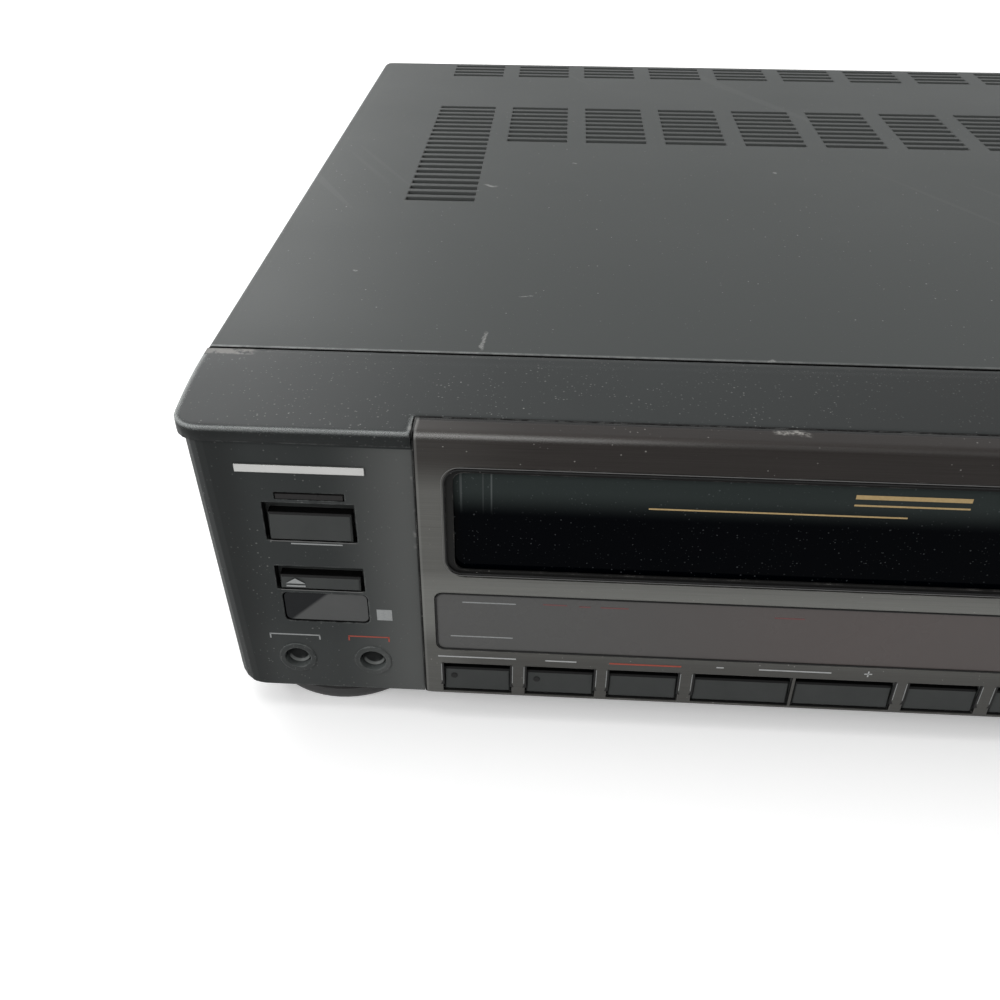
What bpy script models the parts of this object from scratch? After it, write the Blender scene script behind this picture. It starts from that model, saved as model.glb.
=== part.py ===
"""Eight-millimetre video cassette recorder, built as separate pieces.

Lengths are in metres. A place is measured from the cover's left side, back from the front face
and down from the cover's top. The model's origin is the centre of its footprint, on the ground.
"""

import math

import bmesh
import bpy
from mathutils import Matrix, Vector

# Driving sizes of the case
WIDTH = 0.355
CASE_DEPTH = 0.2995
PANEL_DEPTH = 0.033
FOOT_HEIGHT = 0.0078
JACK_REACH = 0.0085

# Stock, clearances and cutting overrun
SHEET = 0.001
WALL = 0.0025
SEAT_GAP = 0.0003
RUNNING_GAP = 0.0003
OVERRUN = 0.001
ROUND_SIDES = 24
SMALL_SIDES = 12

# Top cover
COVER_GAP = 0.0008
COVER_EDGE_RADIUS = 0.0018
COVER_CORNER_RADIUS = 0.003
VENT_LEFT = 0.031
VENT_RIGHT_INSET = 0.0335
VENT_COLUMN_WEB = 0.0065
VENT_COLUMNS = 11
VENT_SLOT = 0.0028
VENT_SLOT_PITCH = 0.005
VENT_LONG_BACK_INSET = 0.0645
VENT_LONG_SLOTS = 21
VENT_SHORT_SLOTS = 9
VENT_REAR_INSET = 0.0205
VENT_REAR_SLOTS = 4

# Base pan
PAN_LIFT = 0.0018
PAN_FRONT = 0.0095
PAN_FLANGE = 0.017
PAN_TONGUE_INSET = 0.016

# Feet
FOOT_RADIUS = 0.022
FOOT_TAPER = 0.0015
FOOT_BOSS_RADIUS = 0.006
FOOT_SIDE_INSET = 0.028
FOOT_FRONT_INSET = 0.0257
FOOT_REAR_INSET = 0.035

# Cover screws
SCREW_HEAD_RADIUS = 0.0032
SCREW_SHANK_RADIUS = 0.0015
SCREW_LENGTH = 0.006
SCREW_SLOT = 0.0006
SCREW_RISE = 0.0122
SCREW_FRONT = 0.060
SCREW_REAR_INSET = 0.0295

# Front panel
LIP_HEIGHT = 0.0032
LIP_RADIUS = 0.0026
FACE_SETBACK = 0.0012
PANEL_BOW = 0.002
PANEL_BOW_START = 0.028
PANEL_BOW_SHARE = 1.6
PANEL_CORNER = 0.0062
PANEL_LEAN = 0.003
PANEL_BOTTOM_RADIUS = 0.0075
PANEL_FLOOR = 0.0012
PANEL_CHIN = 0.0014
BACKING_WALL = 0.0025

# Fascia, the brushed plate in the middle of the front
FASCIA_SEAM = 0.0497
FASCIA_SHEET = 0.001
FASCIA_TURN_BACK = 0.0062
FASCIA_EDGE_RADIUS = 0.0018
FASCIA_CHIN_HEIGHT = 0.0010
FASCIA_CHIN_SETBACK = 0.0008
FASCIA_CORNER_CUT = 0.0014

# Cassette window and door
WINDOW_SIDE_MARGIN = 0.0077
WINDOW_WIDTH = 0.1416
WINDOW_RISE = 0.006
WINDOW_SILL = 0.0006
WINDOW_RADIUS = 0.0022
WINDOW_RIM = 0.0017
DOOR_THICKNESS = 0.0025
DOOR_SETBACK = 0.0016
DOOR_PIVOT_SETBACK = 0.0052
DOOR_PIVOT_INSET = 0.0028
DOOR_EDGE_RADIUS = 0.0018
DOOR_BARREL_RADIUS = 0.0020
DOOR_PIN_RADIUS = 0.0011
DOOR_PIN_REACH = 0.0030
DOOR_LUG_THICKNESS = 0.0025
DOOR_OVERLAP = 0.0004
DOOR_GAP = 0.0005
WINDOW_RIM_DEPTH = 0.0005
CHIN_RISE = 0.0003

# Display window, lens, tube and the board behind the front
LENS_LEFT_REACH = 0.0044
LENS_RIGHT_REACH = 0.0040
LENS_WINDOW_GAP = 0.0065
LENS_KEY_GAP = 0.0064
LENS_RADIUS = 0.0018
LENS_THICKNESS = 0.0020
LENS_SETBACK = 0.0002
LENS_LEDGE = 0.002
TUBE_INSET = 0.006
TUBE_THICKNESS = 0.0045
BOARD = 0.0016
FRONT_BOARD_SETBACK = 0.0135
FRONT_BOARD_INSET = 0.014
FRONT_BOARD_TOP = 0.010
FRONT_BOARD_RISE = 0.0050
BAY_CLEARANCE = 0.004
POST_RADIUS = 0.0025
BRIDGE_POST_INSET = 0.040

# Keys: sides are shares of the wing or of the lens, and rises are above the case's bottom
KEY_GAP = 0.0003
KEY_FLANGE = 0.0010
KEY_FLANGE_THICKNESS = 0.0012
KEY_EDGE = 0.0004
KEY_TRAVEL = 0.0015
KEY_RECESS = 0.0004
KEY_SHADOW = 0.0007
LOWER_KEY_SHADOW = 0.0020
KEY_STEM_RADIUS = 0.0015
WING_KEY_MARGIN = 0.0009
WING_KEY_SHADOW = 0.0029
SLOPE_TOP = 0.0006
POWER_KEY_SHARES = (0.3702, 0.7243)
POWER_KEY_TOP = 0.0213
POWER_KEY_HEIGHT = 0.0067
EJECT_KEY_SHARES = (0.3823, 0.7364)
EJECT_KEY_RISE = 0.0297
EJECT_KEY_HEIGHT = 0.0034
ROUND_KEY_RADIUS = 0.0027
ROUND_KEY_RECESS = 0.0012
ROUND_RING_RADIUS = 0.0042
ROUND_RING_HEIGHT = 0.0003
ROUND_KEY_RISE = 0.0090
ROUND_KEY_SHARES = (0.4105, 0.7606)
SENSOR_SHARES = (0.3863, 0.7565)
SENSOR_RISE = 0.0205
SENSOR_HEIGHT = 0.0077
SENSOR_RADIUS = 0.0012
SENSOR_THICKNESS = 0.0010
INDICATOR_SHARES = (0.4165, 0.6982)
INDICATOR_TOP = 0.0161
INDICATOR_HEIGHT = 0.0012
LOWER_KEY_RISE = 0.0016
LOWER_KEY_HEIGHT = 0.0067
LOWER_KEY_LEFT_SHARES = (0.0080, 0.1333, 0.2580, 0.3860, 0.5373, 0.7027, 0.8307)
LOWER_KEY_RIGHT_SHARES = (0.1093, 0.2360, 0.3620, 0.5293, 0.6813, 0.8067, 0.9347)
DECK_KEY_LEFT_MARGIN = 0.0180
DECK_KEY_RIGHT_MARGIN = 0.0163
DECK_KEY_SPACING = 0.0040
DECK_KEY_TOP = 0.0130
DECK_KEY_HEIGHT = 0.0080
DECK_KEY_ROW_SPACING = 0.0040

# Rear
JACK_BLOCK_INSET = 0.150
JACK_BLOCK_WIDTH = 0.060
JACK_BLOCK_TOP = 0.020
JACK_BLOCK_HEIGHT = 0.032
JACK_BLOCK_DEPTH = 0.012
JACK_RADIUS = 0.0042
JACK_BORE_RADIUS = 0.0017
JACK_BORE_DEPTH = 0.007
JACK_COLUMNS = 3
JACK_ROWS = 2
TUNER_INSET = 0.065
TUNER_WIDTH = 0.045
TUNER_TOP = 0.018
TUNER_HEIGHT = 0.040
TUNER_DEPTH = 0.075
AERIAL_RADIUS = 0.0047
AERIAL_SETBACK = 0.0018
AERIAL_COUNT = 2
INLET_LEFT = 0.030
INLET_WIDTH = 0.022
INLET_TOP = 0.040
INLET_HEIGHT = 0.012
INLET_DEPTH = 0.018
INLET_PROUD = 0.0015
INLET_HOLE_DEPTH = 0.012
INLET_HOLE_WALL = 0.0022
INLET_PIN_RADIUS = 0.0012
INLET_PIN_SPREAD = 0.0043

# Boards
BOARD_POST_RADIUS = 0.003
BOARD_POST_INSET = 0.008
POWER_BOARD_LEFT = 0.010
POWER_BOARD_GAP = 0.0057
POWER_BOARD_BACK_INSET = 0.0245
POWER_BOARD_LENGTH = 0.150
MAIN_BOARD_GAP = 0.0093
MAIN_BOARD_RIGHT_INSET = 0.009
MAIN_BOARD_FRONT = 0.045
MAIN_BOARD_BACK_INSET = 0.0945
BOARD_LIFT = 0.006
TRANSFORMER_SIZE = 0.044
TRANSFORMER_STACK = 0.020
TRANSFORMER_COIL = 0.031
TRANSFORMER_COIL_LENGTH = 0.036
TRANSFORMER_BACK_INSET = 0.0845
TRANSFORMER_LEFT = 0.018
CORE_HEIGHT_SHARE = 0.85
CAPACITOR_HEIGHT = 0.018
HEAT_SINK_HEIGHT = 0.034
CHIP_HEIGHT = 0.004
SHIELD_HEIGHT = 0.012

# Tape mechanism
DECK_SIDE_MARGIN = 0.0024
DECK_SETBACK = 0.0025
DECK_LENGTH = 0.141
DECK_LEG_HEIGHT = 0.0122
DECK_SHEET = 0.0012
DECK_LEG_RADIUS = 0.004
DECK_LEG_INSET = 0.006
CASSETTE_HALF_WIDTH = 0.0475
CASSETTE_DEPTH = 0.0625
CASSETTE_HEIGHT = 0.015
HOLDER_FRONT = 0.0325
HOLDER_TOP = 0.0150
HOLDER_SHEET = 0.001
HOLDER_LEDGE = 0.004
HOLDER_PLAY = 0.0006
HOLDER_TRAVEL = 0.012
CARRIAGE_TRAVEL = 0.022
CARRIAGE_SHEET = 0.001
CARRIAGE_GAP = 0.0004
CARRIAGE_RISE = 0.0035
CARRIAGE_FLOOR_GAP = 0.005
BRACKET_SHEET = 0.0012
BRACKET_RISE = 0.001
BRACKET_LENGTH = 0.089
CARRIAGE_PIN_INSET = 0.0055
GUIDE_PIN_RADIUS = 0.0010
GUIDE_PIN_INSET = 0.014
REEL_SPREAD = 0.0225
REEL_SETBACK = 0.052
REEL_BASE_RADIUS = 0.0115
REEL_BASE_HEIGHT = 0.0045
REEL_HUB_RADIUS = 0.0032
REEL_HUB_HEIGHT = 0.0175
REEL_HUB_GAP = 0.0043
REEL_PIN_RADIUS = 0.0010
REEL_KEY = 0.0008
DRUM_RADIUS = 0.020
DRUM_SETBACK = 0.1125
DRUM_TILT_DEGREES = 5.0
LOWER_DRUM_HEIGHT = 0.0125
UPPER_DRUM_HEIGHT = 0.0125
DRUM_GAP = 0.0004
DRUM_SHAFT_RADIUS = 0.003
DRUM_SIDES = 36
DRUM_BASE_RADIUS = 0.012
DRUM_LIFT = 0.0032
CAPSTAN_SIDE_INSET = 0.0185
CAPSTAN_SETBACK = 0.099
CAPSTAN_RADIUS = 0.0015
CAPSTAN_HEIGHT = 0.026
FLYWHEEL_RADIUS = 0.012
FLYWHEEL_THICKNESS = 0.004
FLYWHEEL_GAP = 0.0023
PINCH_SIDE_INSET = 0.007
PINCH_SETBACK = 0.121
PINCH_ARM_WIDTH = 0.006
PINCH_ARM_THICKNESS = 0.002
PINCH_ARM_LIFT = 0.007
PINCH_ROLLER_RADIUS = 0.0050
PINCH_ROLLER_HEIGHT = 0.014
PINCH_OPEN_DEGREES = 20.0
PINCH_NIP_GAP = 0.0003
GUIDE_OFFSET = 0.0245
GUIDE_SETBACK = 0.0795
GUIDE_TRAVEL = 0.026
GUIDE_BLOCK = 0.008
GUIDE_BLOCK_HEIGHT = 0.003
GUIDE_POST_RADIUS = 0.0016
GUIDE_POST_HEIGHT = 0.0215
GUIDE_SLOT = 0.0030
GEAR_SIDE_INSET = 0.012
GEAR_SETBACK = 0.121
GEAR_TEETH = 30
PINION_TEETH = 10
TOOTH_MODULE = 0.0006
TOOTH_TIP_SHARE = 0.9
TOOTH_ROOT_SHARE = 1.2
TOOTH_FLANK_SHARES = (-0.29, -0.11, 0.11, 0.29)
GEAR_THICKNESS = 0.003
GEAR_LIFT = 0.0006
GEAR_PIN_RADIUS = 0.0012
MOTOR_RADIUS = 0.009
MOTOR_FLOOR_GAP = 0.0015

# The stack under the cover gives the case its height: holder, reel hub, deck, legs and pan
HOLDER_BOTTOM = HOLDER_TOP + CASSETTE_HEIGHT + 2 * (HOLDER_SHEET + HOLDER_PLAY)
REEL_HUB_TOP = HOLDER_BOTTOM + REEL_HUB_GAP
DECK_DROP = REEL_HUB_TOP + REEL_HUB_HEIGHT
DECK_UNDER = DECK_DROP + DECK_SHEET
CASE_HEIGHT = DECK_UNDER + DECK_LEG_HEIGHT + SHEET + PAN_LIFT
HEIGHT = CASE_HEIGHT + FOOT_HEIGHT
DEPTH = CASE_DEPTH + JACK_REACH
PAN_BOTTOM = CASE_HEIGHT - PAN_LIFT
PAN_TOP = PAN_BOTTOM - SHEET
REAR_FACE = CASE_DEPTH - SHEET - SEAT_GAP
HOLDER_HALF = CASSETTE_HALF_WIDTH + HOLDER_PLAY + HOLDER_SHEET
HOLDER_DEPTH = CASSETTE_DEPTH + HOLDER_SHEET
CARRIAGE_INNER = HOLDER_HALF + CARRIAGE_GAP
CARRIAGE_OUTER = CARRIAGE_INNER + CARRIAGE_SHEET
BRACKET_INNER = CARRIAGE_OUTER + CARRIAGE_GAP

# Places down from the top that follow the stack
SCREW_DROP = CASE_HEIGHT - SCREW_RISE
FASCIA_CHIN_DROP = CASE_HEIGHT - FASCIA_CHIN_HEIGHT
WINDOW_TOP = HOLDER_TOP - WINDOW_RISE
WINDOW_BOTTOM = HOLDER_BOTTOM + WINDOW_SILL
DOOR_PIVOT_DROP = WINDOW_TOP + DOOR_PIVOT_INSET
LOWER_KEY_BOTTOM = CASE_HEIGHT - LOWER_KEY_RISE
LOWER_KEY_TOP = LOWER_KEY_BOTTOM - LOWER_KEY_HEIGHT
LENS_TOP = WINDOW_BOTTOM + LENS_WINDOW_GAP
LENS_BOTTOM = LOWER_KEY_TOP - LENS_KEY_GAP
FRONT_BOARD_BOTTOM = CASE_HEIGHT - FRONT_BOARD_RISE
ROUND_KEY_DROP = CASE_HEIGHT - ROUND_KEY_RISE
SENSOR_BOTTOM = CASE_HEIGHT - SENSOR_RISE
EJECT_KEY_BOTTOM = CASE_HEIGHT - EJECT_KEY_RISE
CARRIAGE_TOP = HOLDER_TOP - CARRIAGE_RISE
CARRIAGE_BOTTOM = DECK_DROP - CARRIAGE_FLOOR_GAP
CARRIAGE_PIN_DROP = CARRIAGE_BOTTOM - CARRIAGE_PIN_INSET
BRACKET_TOP = CARRIAGE_TOP - BRACKET_RISE
CAPSTAN_TOP = DECK_DROP - CAPSTAN_HEIGHT
FLYWHEEL_DROP = DECK_UNDER + FLYWHEEL_GAP
PINCH_ARM_DROP = DECK_DROP - PINCH_ARM_LIFT
GUIDE_POST_TOP = DECK_DROP - GUIDE_POST_HEIGHT
MOTOR_HEIGHT = DECK_LEG_HEIGHT - MOTOR_FLOOR_GAP

# Places across from the left side
WINDOW_LEFT = FASCIA_SEAM + WINDOW_SIDE_MARGIN
WINDOW_RIGHT = WINDOW_LEFT + WINDOW_WIDTH
LENS_LEFT = WINDOW_LEFT - LENS_LEFT_REACH
LENS_RIGHT = WINDOW_RIGHT + LENS_RIGHT_REACH
DECK_KEY_LEFT = WINDOW_RIGHT + DECK_KEY_LEFT_MARGIN
DECK_KEY_RIGHT = WIDTH - FASCIA_SEAM - DECK_KEY_RIGHT_MARGIN
DECK_KEY_WIDTH = (DECK_KEY_RIGHT - DECK_KEY_LEFT - DECK_KEY_SPACING) / 2
VENT_SPAN = WIDTH - VENT_LEFT - VENT_RIGHT_INSET
VENT_COLUMN_PITCH = (VENT_SPAN + VENT_COLUMN_WEB) / VENT_COLUMNS
VENT_LENGTH = VENT_COLUMN_PITCH - VENT_COLUMN_WEB
DECK_CENTRE = (WINDOW_LEFT + WINDOW_RIGHT) / 2
DECK_HALF_WIDTH = BRACKET_INNER + BRACKET_SHEET + DECK_SIDE_MARGIN
CAPSTAN_OFFSET = DECK_HALF_WIDTH - CAPSTAN_SIDE_INSET
PINCH_PIVOT_OFFSET = DECK_HALF_WIDTH - PINCH_SIDE_INSET
GEAR_OFFSET = DECK_HALF_WIDTH - GEAR_SIDE_INSET
JACK_BLOCK_LEFT = WIDTH - JACK_BLOCK_INSET
TUNER_LEFT = WIDTH - TUNER_INSET

# Places back from the front face
SCREW_REAR = CASE_DEPTH - SCREW_REAR_INSET
VENT_LONG_BACK = CASE_DEPTH - VENT_LONG_BACK_INSET
VENT_REAR_FRONT = CASE_DEPTH - VENT_REAR_INSET
DECK_FRONT = HOLDER_FRONT + DECK_SETBACK
DECK_BACK = DECK_FRONT + DECK_LENGTH
BRACKET_BACK = DECK_FRONT + BRACKET_LENGTH
REEL_PLACE = DECK_FRONT + REEL_SETBACK
DRUM_PLACE = DECK_FRONT + DRUM_SETBACK
CAPSTAN_PLACE = DECK_FRONT + CAPSTAN_SETBACK
PINCH_PIVOT_PLACE = DECK_FRONT + PINCH_SETBACK
GUIDE_PLACE = DECK_FRONT + GUIDE_SETBACK
GEAR_PLACE = DECK_FRONT + GEAR_SETBACK
POWER_BOARD_BACK = CASE_DEPTH - POWER_BOARD_BACK_INSET
TRANSFORMER_FRONT = CASE_DEPTH - TRANSFORMER_BACK_INSET

# Blocks: left side, right side, then top and bottom or front and back
JACK_BLOCK = (
    JACK_BLOCK_LEFT,
    JACK_BLOCK_LEFT + JACK_BLOCK_WIDTH,
    JACK_BLOCK_TOP,
    JACK_BLOCK_TOP + JACK_BLOCK_HEIGHT,
)
TUNER = (TUNER_LEFT, TUNER_LEFT + TUNER_WIDTH, TUNER_TOP, TUNER_TOP + TUNER_HEIGHT)
INLET = (INLET_LEFT, INLET_LEFT + INLET_WIDTH, INLET_TOP, INLET_TOP + INLET_HEIGHT)
POWER_BOARD = (
    POWER_BOARD_LEFT,
    DECK_CENTRE - DECK_HALF_WIDTH - POWER_BOARD_GAP,
    POWER_BOARD_BACK - POWER_BOARD_LENGTH,
    POWER_BOARD_BACK,
)
MAIN_BOARD = (
    DECK_CENTRE + DECK_HALF_WIDTH + MAIN_BOARD_GAP,
    WIDTH - MAIN_BOARD_RIGHT_INSET,
    MAIN_BOARD_FRONT,
    CASE_DEPTH - MAIN_BOARD_BACK_INSET,
)
POWER_KEY = (
    POWER_KEY_SHARES[0] * FASCIA_SEAM,
    POWER_KEY_SHARES[1] * FASCIA_SEAM,
    POWER_KEY_TOP,
    POWER_KEY_TOP + POWER_KEY_HEIGHT,
)
EJECT_KEY = (
    EJECT_KEY_SHARES[0] * FASCIA_SEAM,
    EJECT_KEY_SHARES[1] * FASCIA_SEAM,
    EJECT_KEY_BOTTOM - EJECT_KEY_HEIGHT,
    EJECT_KEY_BOTTOM,
)
SENSOR_WINDOW = (
    SENSOR_SHARES[0] * FASCIA_SEAM,
    SENSOR_SHARES[1] * FASCIA_SEAM,
    SENSOR_BOTTOM - SENSOR_HEIGHT,
    SENSOR_BOTTOM,
)
INDICATOR = (
    INDICATOR_SHARES[0] * FASCIA_SEAM,
    INDICATOR_SHARES[1] * FASCIA_SEAM,
    INDICATOR_TOP,
    INDICATOR_TOP + INDICATOR_HEIGHT,
)
ROUND_KEY_LEFTS = [share * FASCIA_SEAM for share in ROUND_KEY_SHARES]

PARTS = bpy.data.collections.new("video_cassette_recorder")
CUTTERS = bpy.data.collections.new("cutters")


def clear_scene():
    for thing in list(bpy.data.objects):
        bpy.data.objects.remove(thing)
    bpy.context.scene.collection.children.link(PARTS)
    bpy.context.scene.collection.children.link(CUTTERS)


def at(across, back, down):
    """A place in the model from its distances to the left side, the front face and the top."""
    return Vector((across - WIDTH / 2, back - DEPTH / 2, HEIGHT - down))


def material(name, colour, roughness, metallic=0.0):
    made = bpy.data.materials.new(name)
    made.use_nodes = True
    shader = made.node_tree.nodes["Principled BSDF"]
    shader.inputs["Base Color"].default_value = (*colour, 1.0)
    shader.inputs["Roughness"].default_value = roughness
    shader.inputs["Metallic"].default_value = metallic
    return made


def place(name, mesh, centre, finish=None):
    """A part when it has a finish, and otherwise a hidden helper for a cut or a join."""
    thing = bpy.data.objects.new(name, mesh)
    thing.location = centre
    if finish:
        mesh.materials.append(finish)
        PARTS.objects.link(thing)
    else:
        CUTTERS.objects.link(thing)
        thing.hide_render = True
        thing.display_type = "WIRE"
    return thing


def mesh_from(name, shape):
    mesh = bpy.data.meshes.new(name)
    shape.to_mesh(mesh)
    shape.free()
    return mesh


def middle(span):
    return (span[0] + span[1]) / 2


def length(span):
    return span[1] - span[0]


def box(name, across, back, down, finish=None):
    """A block between two distances in each direction."""
    shape = bmesh.new()
    bmesh.ops.create_cube(shape, size=1.0)
    size = Vector((length(across), length(back), length(down)))
    bmesh.ops.scale(shape, vec=size, verts=shape.verts)
    centre = at(middle(across), middle(back), middle(down))
    return place(name, mesh_from(name, shape), centre, finish)


TURNS = {
    "X": Matrix.Rotation(math.pi / 2, 4, "Y"),
    "Y": Matrix.Rotation(-math.pi / 2, 4, "X"),
    "Z": Matrix.Identity(4),
}


def rod(name, axis, radius, centre, reach, finish=None, sides=SMALL_SIDES, far_radius=None):
    """A cylinder or cone along one axis, its far radius at the positive end."""
    shape = bmesh.new()
    far = radius if far_radius is None else far_radius
    bmesh.ops.create_cone(
        shape, cap_ends=True, segments=sides, radius1=radius, radius2=far, depth=reach
    )
    bmesh.ops.transform(shape, matrix=TURNS[axis], verts=shape.verts)
    made = place(name, mesh_from(name, shape), centre, finish)
    return smooth(made)


def post(name, across, back, top, bottom, radius, finish=None, sides=SMALL_SIDES):
    """An upright cylinder between two depths below the top."""
    centre = at(across, back, middle((top, bottom)))
    return rod(name, "Z", radius, centre, bottom - top, finish, sides)


def smooth(thing):
    thing.data.shade_smooth()
    thing.data.set_sharp_from_angle(angle=math.radians(35))
    return thing


FACINGS = {
    "top": Matrix.Identity(4),
    "front": Matrix(((1, 0, 0, 0), (0, 0, -1, 0), (0, 1, 0, 0), (0, 0, 0, 1))),
    "side": Matrix(((0, 0, 1, 0), (1, 0, 0, 0), (0, 1, 0, 0), (0, 0, 0, 1))),
}


def plate(name, outline, facing, thickness, centre, finish=None):
    """A flat outline given its thickness, turned to face the top, the front or the side."""
    curve = bpy.data.curves.new(name, "CURVE")
    curve.dimensions = "2D"
    curve.fill_mode = "BOTH"
    curve.extrude = thickness / 2
    spline = curve.splines.new("POLY")
    spline.points.add(len(outline) - 1)
    for point, (u, v) in zip(spline.points, outline):
        point.co = (u, v, 0.0, 1.0)
    spline.use_cyclic_u = True
    guide = bpy.data.objects.new(name + "_outline", curve)
    CUTTERS.objects.link(guide)
    graph = bpy.context.evaluated_depsgraph_get()
    mesh = bpy.data.meshes.new_from_object(guide.evaluated_get(graph))
    bpy.data.objects.remove(guide)
    shape = bmesh.new()
    shape.from_mesh(mesh)
    bmesh.ops.remove_doubles(shape, verts=shape.verts, dist=SEAT_GAP / 100)
    bmesh.ops.recalc_face_normals(shape, faces=shape.faces)
    bmesh.ops.transform(shape, matrix=FACINGS[facing], verts=shape.verts)
    shape.to_mesh(mesh)
    shape.free()
    mesh.name = name
    return smooth(place(name, mesh, centre, finish))


def turned(name, profile, axis, centre, finish=None, sides=ROUND_SIDES):
    """A turned shape: its profile of radius and height runs from the top to the bottom."""
    mesh = bpy.data.meshes.new(name)
    points = [(radius, 0.0, height) for radius, height in profile]
    edges = [(i, i + 1) for i in range(len(points) - 1)]
    if profile[0][0] > 0:
        edges.append((len(points) - 1, 0))
    mesh.from_pydata(points, edges, [])
    made = place(name, mesh, centre, finish)
    screw = made.modifiers.new("turn", "SCREW")
    screw.steps = sides
    screw.render_steps = sides
    screw.use_merge_vertices = True
    screw.merge_threshold = SEAT_GAP / 100
    screw.use_smooth_shade = False
    made.rotation_euler = TURNS[axis].to_euler()
    return made


def boolean(piece, other, operation):
    change = piece.modifiers.new(other.name, "BOOLEAN")
    change.operation = operation
    change.object = other
    change.solver = "EXACT"


def cut(piece, *others):
    for other in others:
        boolean(piece, other, "DIFFERENCE")


def join(piece, *others):
    for other in others:
        boolean(piece, other, "UNION")


def round_edges(thing, chosen, radius, segments):
    """Rounds the edges whose middle and direction pass the test."""
    shape = bmesh.new()
    shape.from_mesh(thing.data)
    edges = []
    for edge in shape.edges:
        first, second = (vert.co for vert in edge.verts)
        if chosen((first + second) / 2, (second - first).normalized()):
            edges.append(edge)
    bmesh.ops.bevel(
        shape,
        geom=edges,
        offset=radius,
        offset_type="OFFSET",
        segments=segments,
        profile=0.5,
        affect="EDGES",
        clamp_overlap=True,
    )
    shape.to_mesh(thing.data)
    shape.free()
    return smooth(thing)


def many_boxes(name, spans):
    """One cutter that holds a block for each span."""
    shape = bmesh.new()
    for across, back, down in spans:
        made = bmesh.ops.create_cube(shape, size=1.0)["verts"]
        size = Vector((length(across), length(back), length(down)))
        bmesh.ops.scale(shape, vec=size, verts=made)
        centre = at(middle(across), middle(back), middle(down))
        bmesh.ops.translate(shape, vec=centre, verts=made)
    return place(name, mesh_from(name, shape), Vector())


def set_origin(thing, point):
    """Moves a piece's origin to its joint's axis, and leaves the piece where it is."""
    shift = Matrix.Translation(thing.location - point)
    thing.data.transform(shift)
    thing.location = point


def rounded_outline(across, down, radius, steps=4):
    """A rectangle with round corners, about its own centre, with down measured downwards."""
    half_u = length(across) / 2 - radius
    half_v = length(down) / 2 - radius
    corners = ((half_u, half_v), (-half_u, half_v), (-half_u, -half_v), (half_u, -half_v))
    outline = []
    for quarter, (u, v) in enumerate(corners):
        for step in range(steps + 1):
            angle = (quarter + step / steps) * math.pi / 2
            outline.append((u + radius * math.cos(angle), v + radius * math.sin(angle)))
    return outline


def grown(span, margin):
    return (span[0] - margin, span[1] + margin)


def rounded_plate(name, across, back, down, radius, finish=None, steps=4):
    """A plate with round corners that faces the front."""
    outline = rounded_outline(across, down, radius, steps)
    centre = at(middle(across), middle(back), middle(down))
    return plate(name, outline, "front", length(back), centre, finish)


def vent_spans():
    """The slots of the cover: one long bank, a row of short banks and a row along the back."""
    through = (-OVERRUN, SHEET + OVERRUN)
    spans = []
    for column in range(VENT_COLUMNS):
        left = VENT_LEFT + column * VENT_COLUMN_PITCH
        across = (left, left + VENT_LENGTH)
        slots = VENT_SHORT_SLOTS if column else VENT_LONG_SLOTS
        fronts = [VENT_LONG_BACK - (slot + 1) * VENT_SLOT_PITCH for slot in range(slots)]
        fronts += [VENT_REAR_FRONT + slot * VENT_SLOT_PITCH for slot in range(VENT_REAR_SLOTS)]
        spans += [(across, (front, front + VENT_SLOT), through) for front in fronts]
    return spans


def make_top_cover(steel):
    """A folded sheet: the top and two sides, open below, in front and behind."""
    span = (PANEL_DEPTH + COVER_GAP, CASE_DEPTH)
    cover = box("top_cover", (0, WIDTH), span, (0, PAN_BOTTOM), steel)
    half_depth = length(span) / 2
    half_height = PAN_BOTTOM / 2
    round_edges(
        cover,
        lambda centre, way: abs(way.z) > 0.9 and centre.y > half_depth / 2,
        COVER_CORNER_RADIUS,
        3,
    )
    round_edges(
        cover,
        lambda centre, way: abs(way.y) > 0.9 and centre.z > half_height / 2,
        COVER_EDGE_RADIUS,
        3,
    )
    inside = box(
        "cover_inside",
        (SHEET, WIDTH - SHEET),
        grown(span, OVERRUN),
        (SHEET, PAN_BOTTOM + OVERRUN),
    )
    cut(cover, inside, many_boxes("vent_slots", vent_spans()))
    for name, side, back_place in screw_places():
        cut(cover, screw_head(name + "_seat", side, back_place, SEAT_GAP))
    return cover


def screw_places():
    return [
        ("cover_screw_left_front", -1, SCREW_FRONT),
        ("cover_screw_left_rear", -1, SCREW_REAR),
        ("cover_screw_right_front", 1, SCREW_FRONT),
        ("cover_screw_right_rear", 1, SCREW_REAR),
    ]


def screw_head(name, side, back, margin, finish=None):
    """The countersunk head of a cover screw, flush with the cover's side."""
    depth = SHEET + 2 * margin
    outer = SCREW_HEAD_RADIUS + margin
    inner = SCREW_SHANK_RADIUS + margin
    start = 0 if side < 0 else WIDTH
    centre = at(start - side * (depth / 2 - margin), back, SCREW_DROP)
    radii = (outer, inner) if side < 0 else (inner, outer)
    return rod(name, "X", radii[0], centre, depth, finish, SMALL_SIDES, radii[1])


def make_cover_screws(metal):
    """Four countersunk screws that pass through the cover into the pan's side flanges."""
    for name, side, back in screw_places():
        head = screw_head(name, side, back, 0, metal)
        start = 0 if side < 0 else WIDTH
        reach = SCREW_LENGTH - SHEET / 2
        centre = at(start - side * (SHEET / 2 + reach / 2), back, SCREW_DROP)
        shank = rod(name + "_shank", "X", SCREW_SHANK_RADIUS, centre, reach)
        drive = box(
            name + "_slot",
            grown((start, start), SHEET / 2),
            grown((back, back), SCREW_HEAD_RADIUS),
            grown((SCREW_DROP, SCREW_DROP), SCREW_SLOT / 2),
        )
        join(head, shank)
        cut(head, drive)


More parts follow.
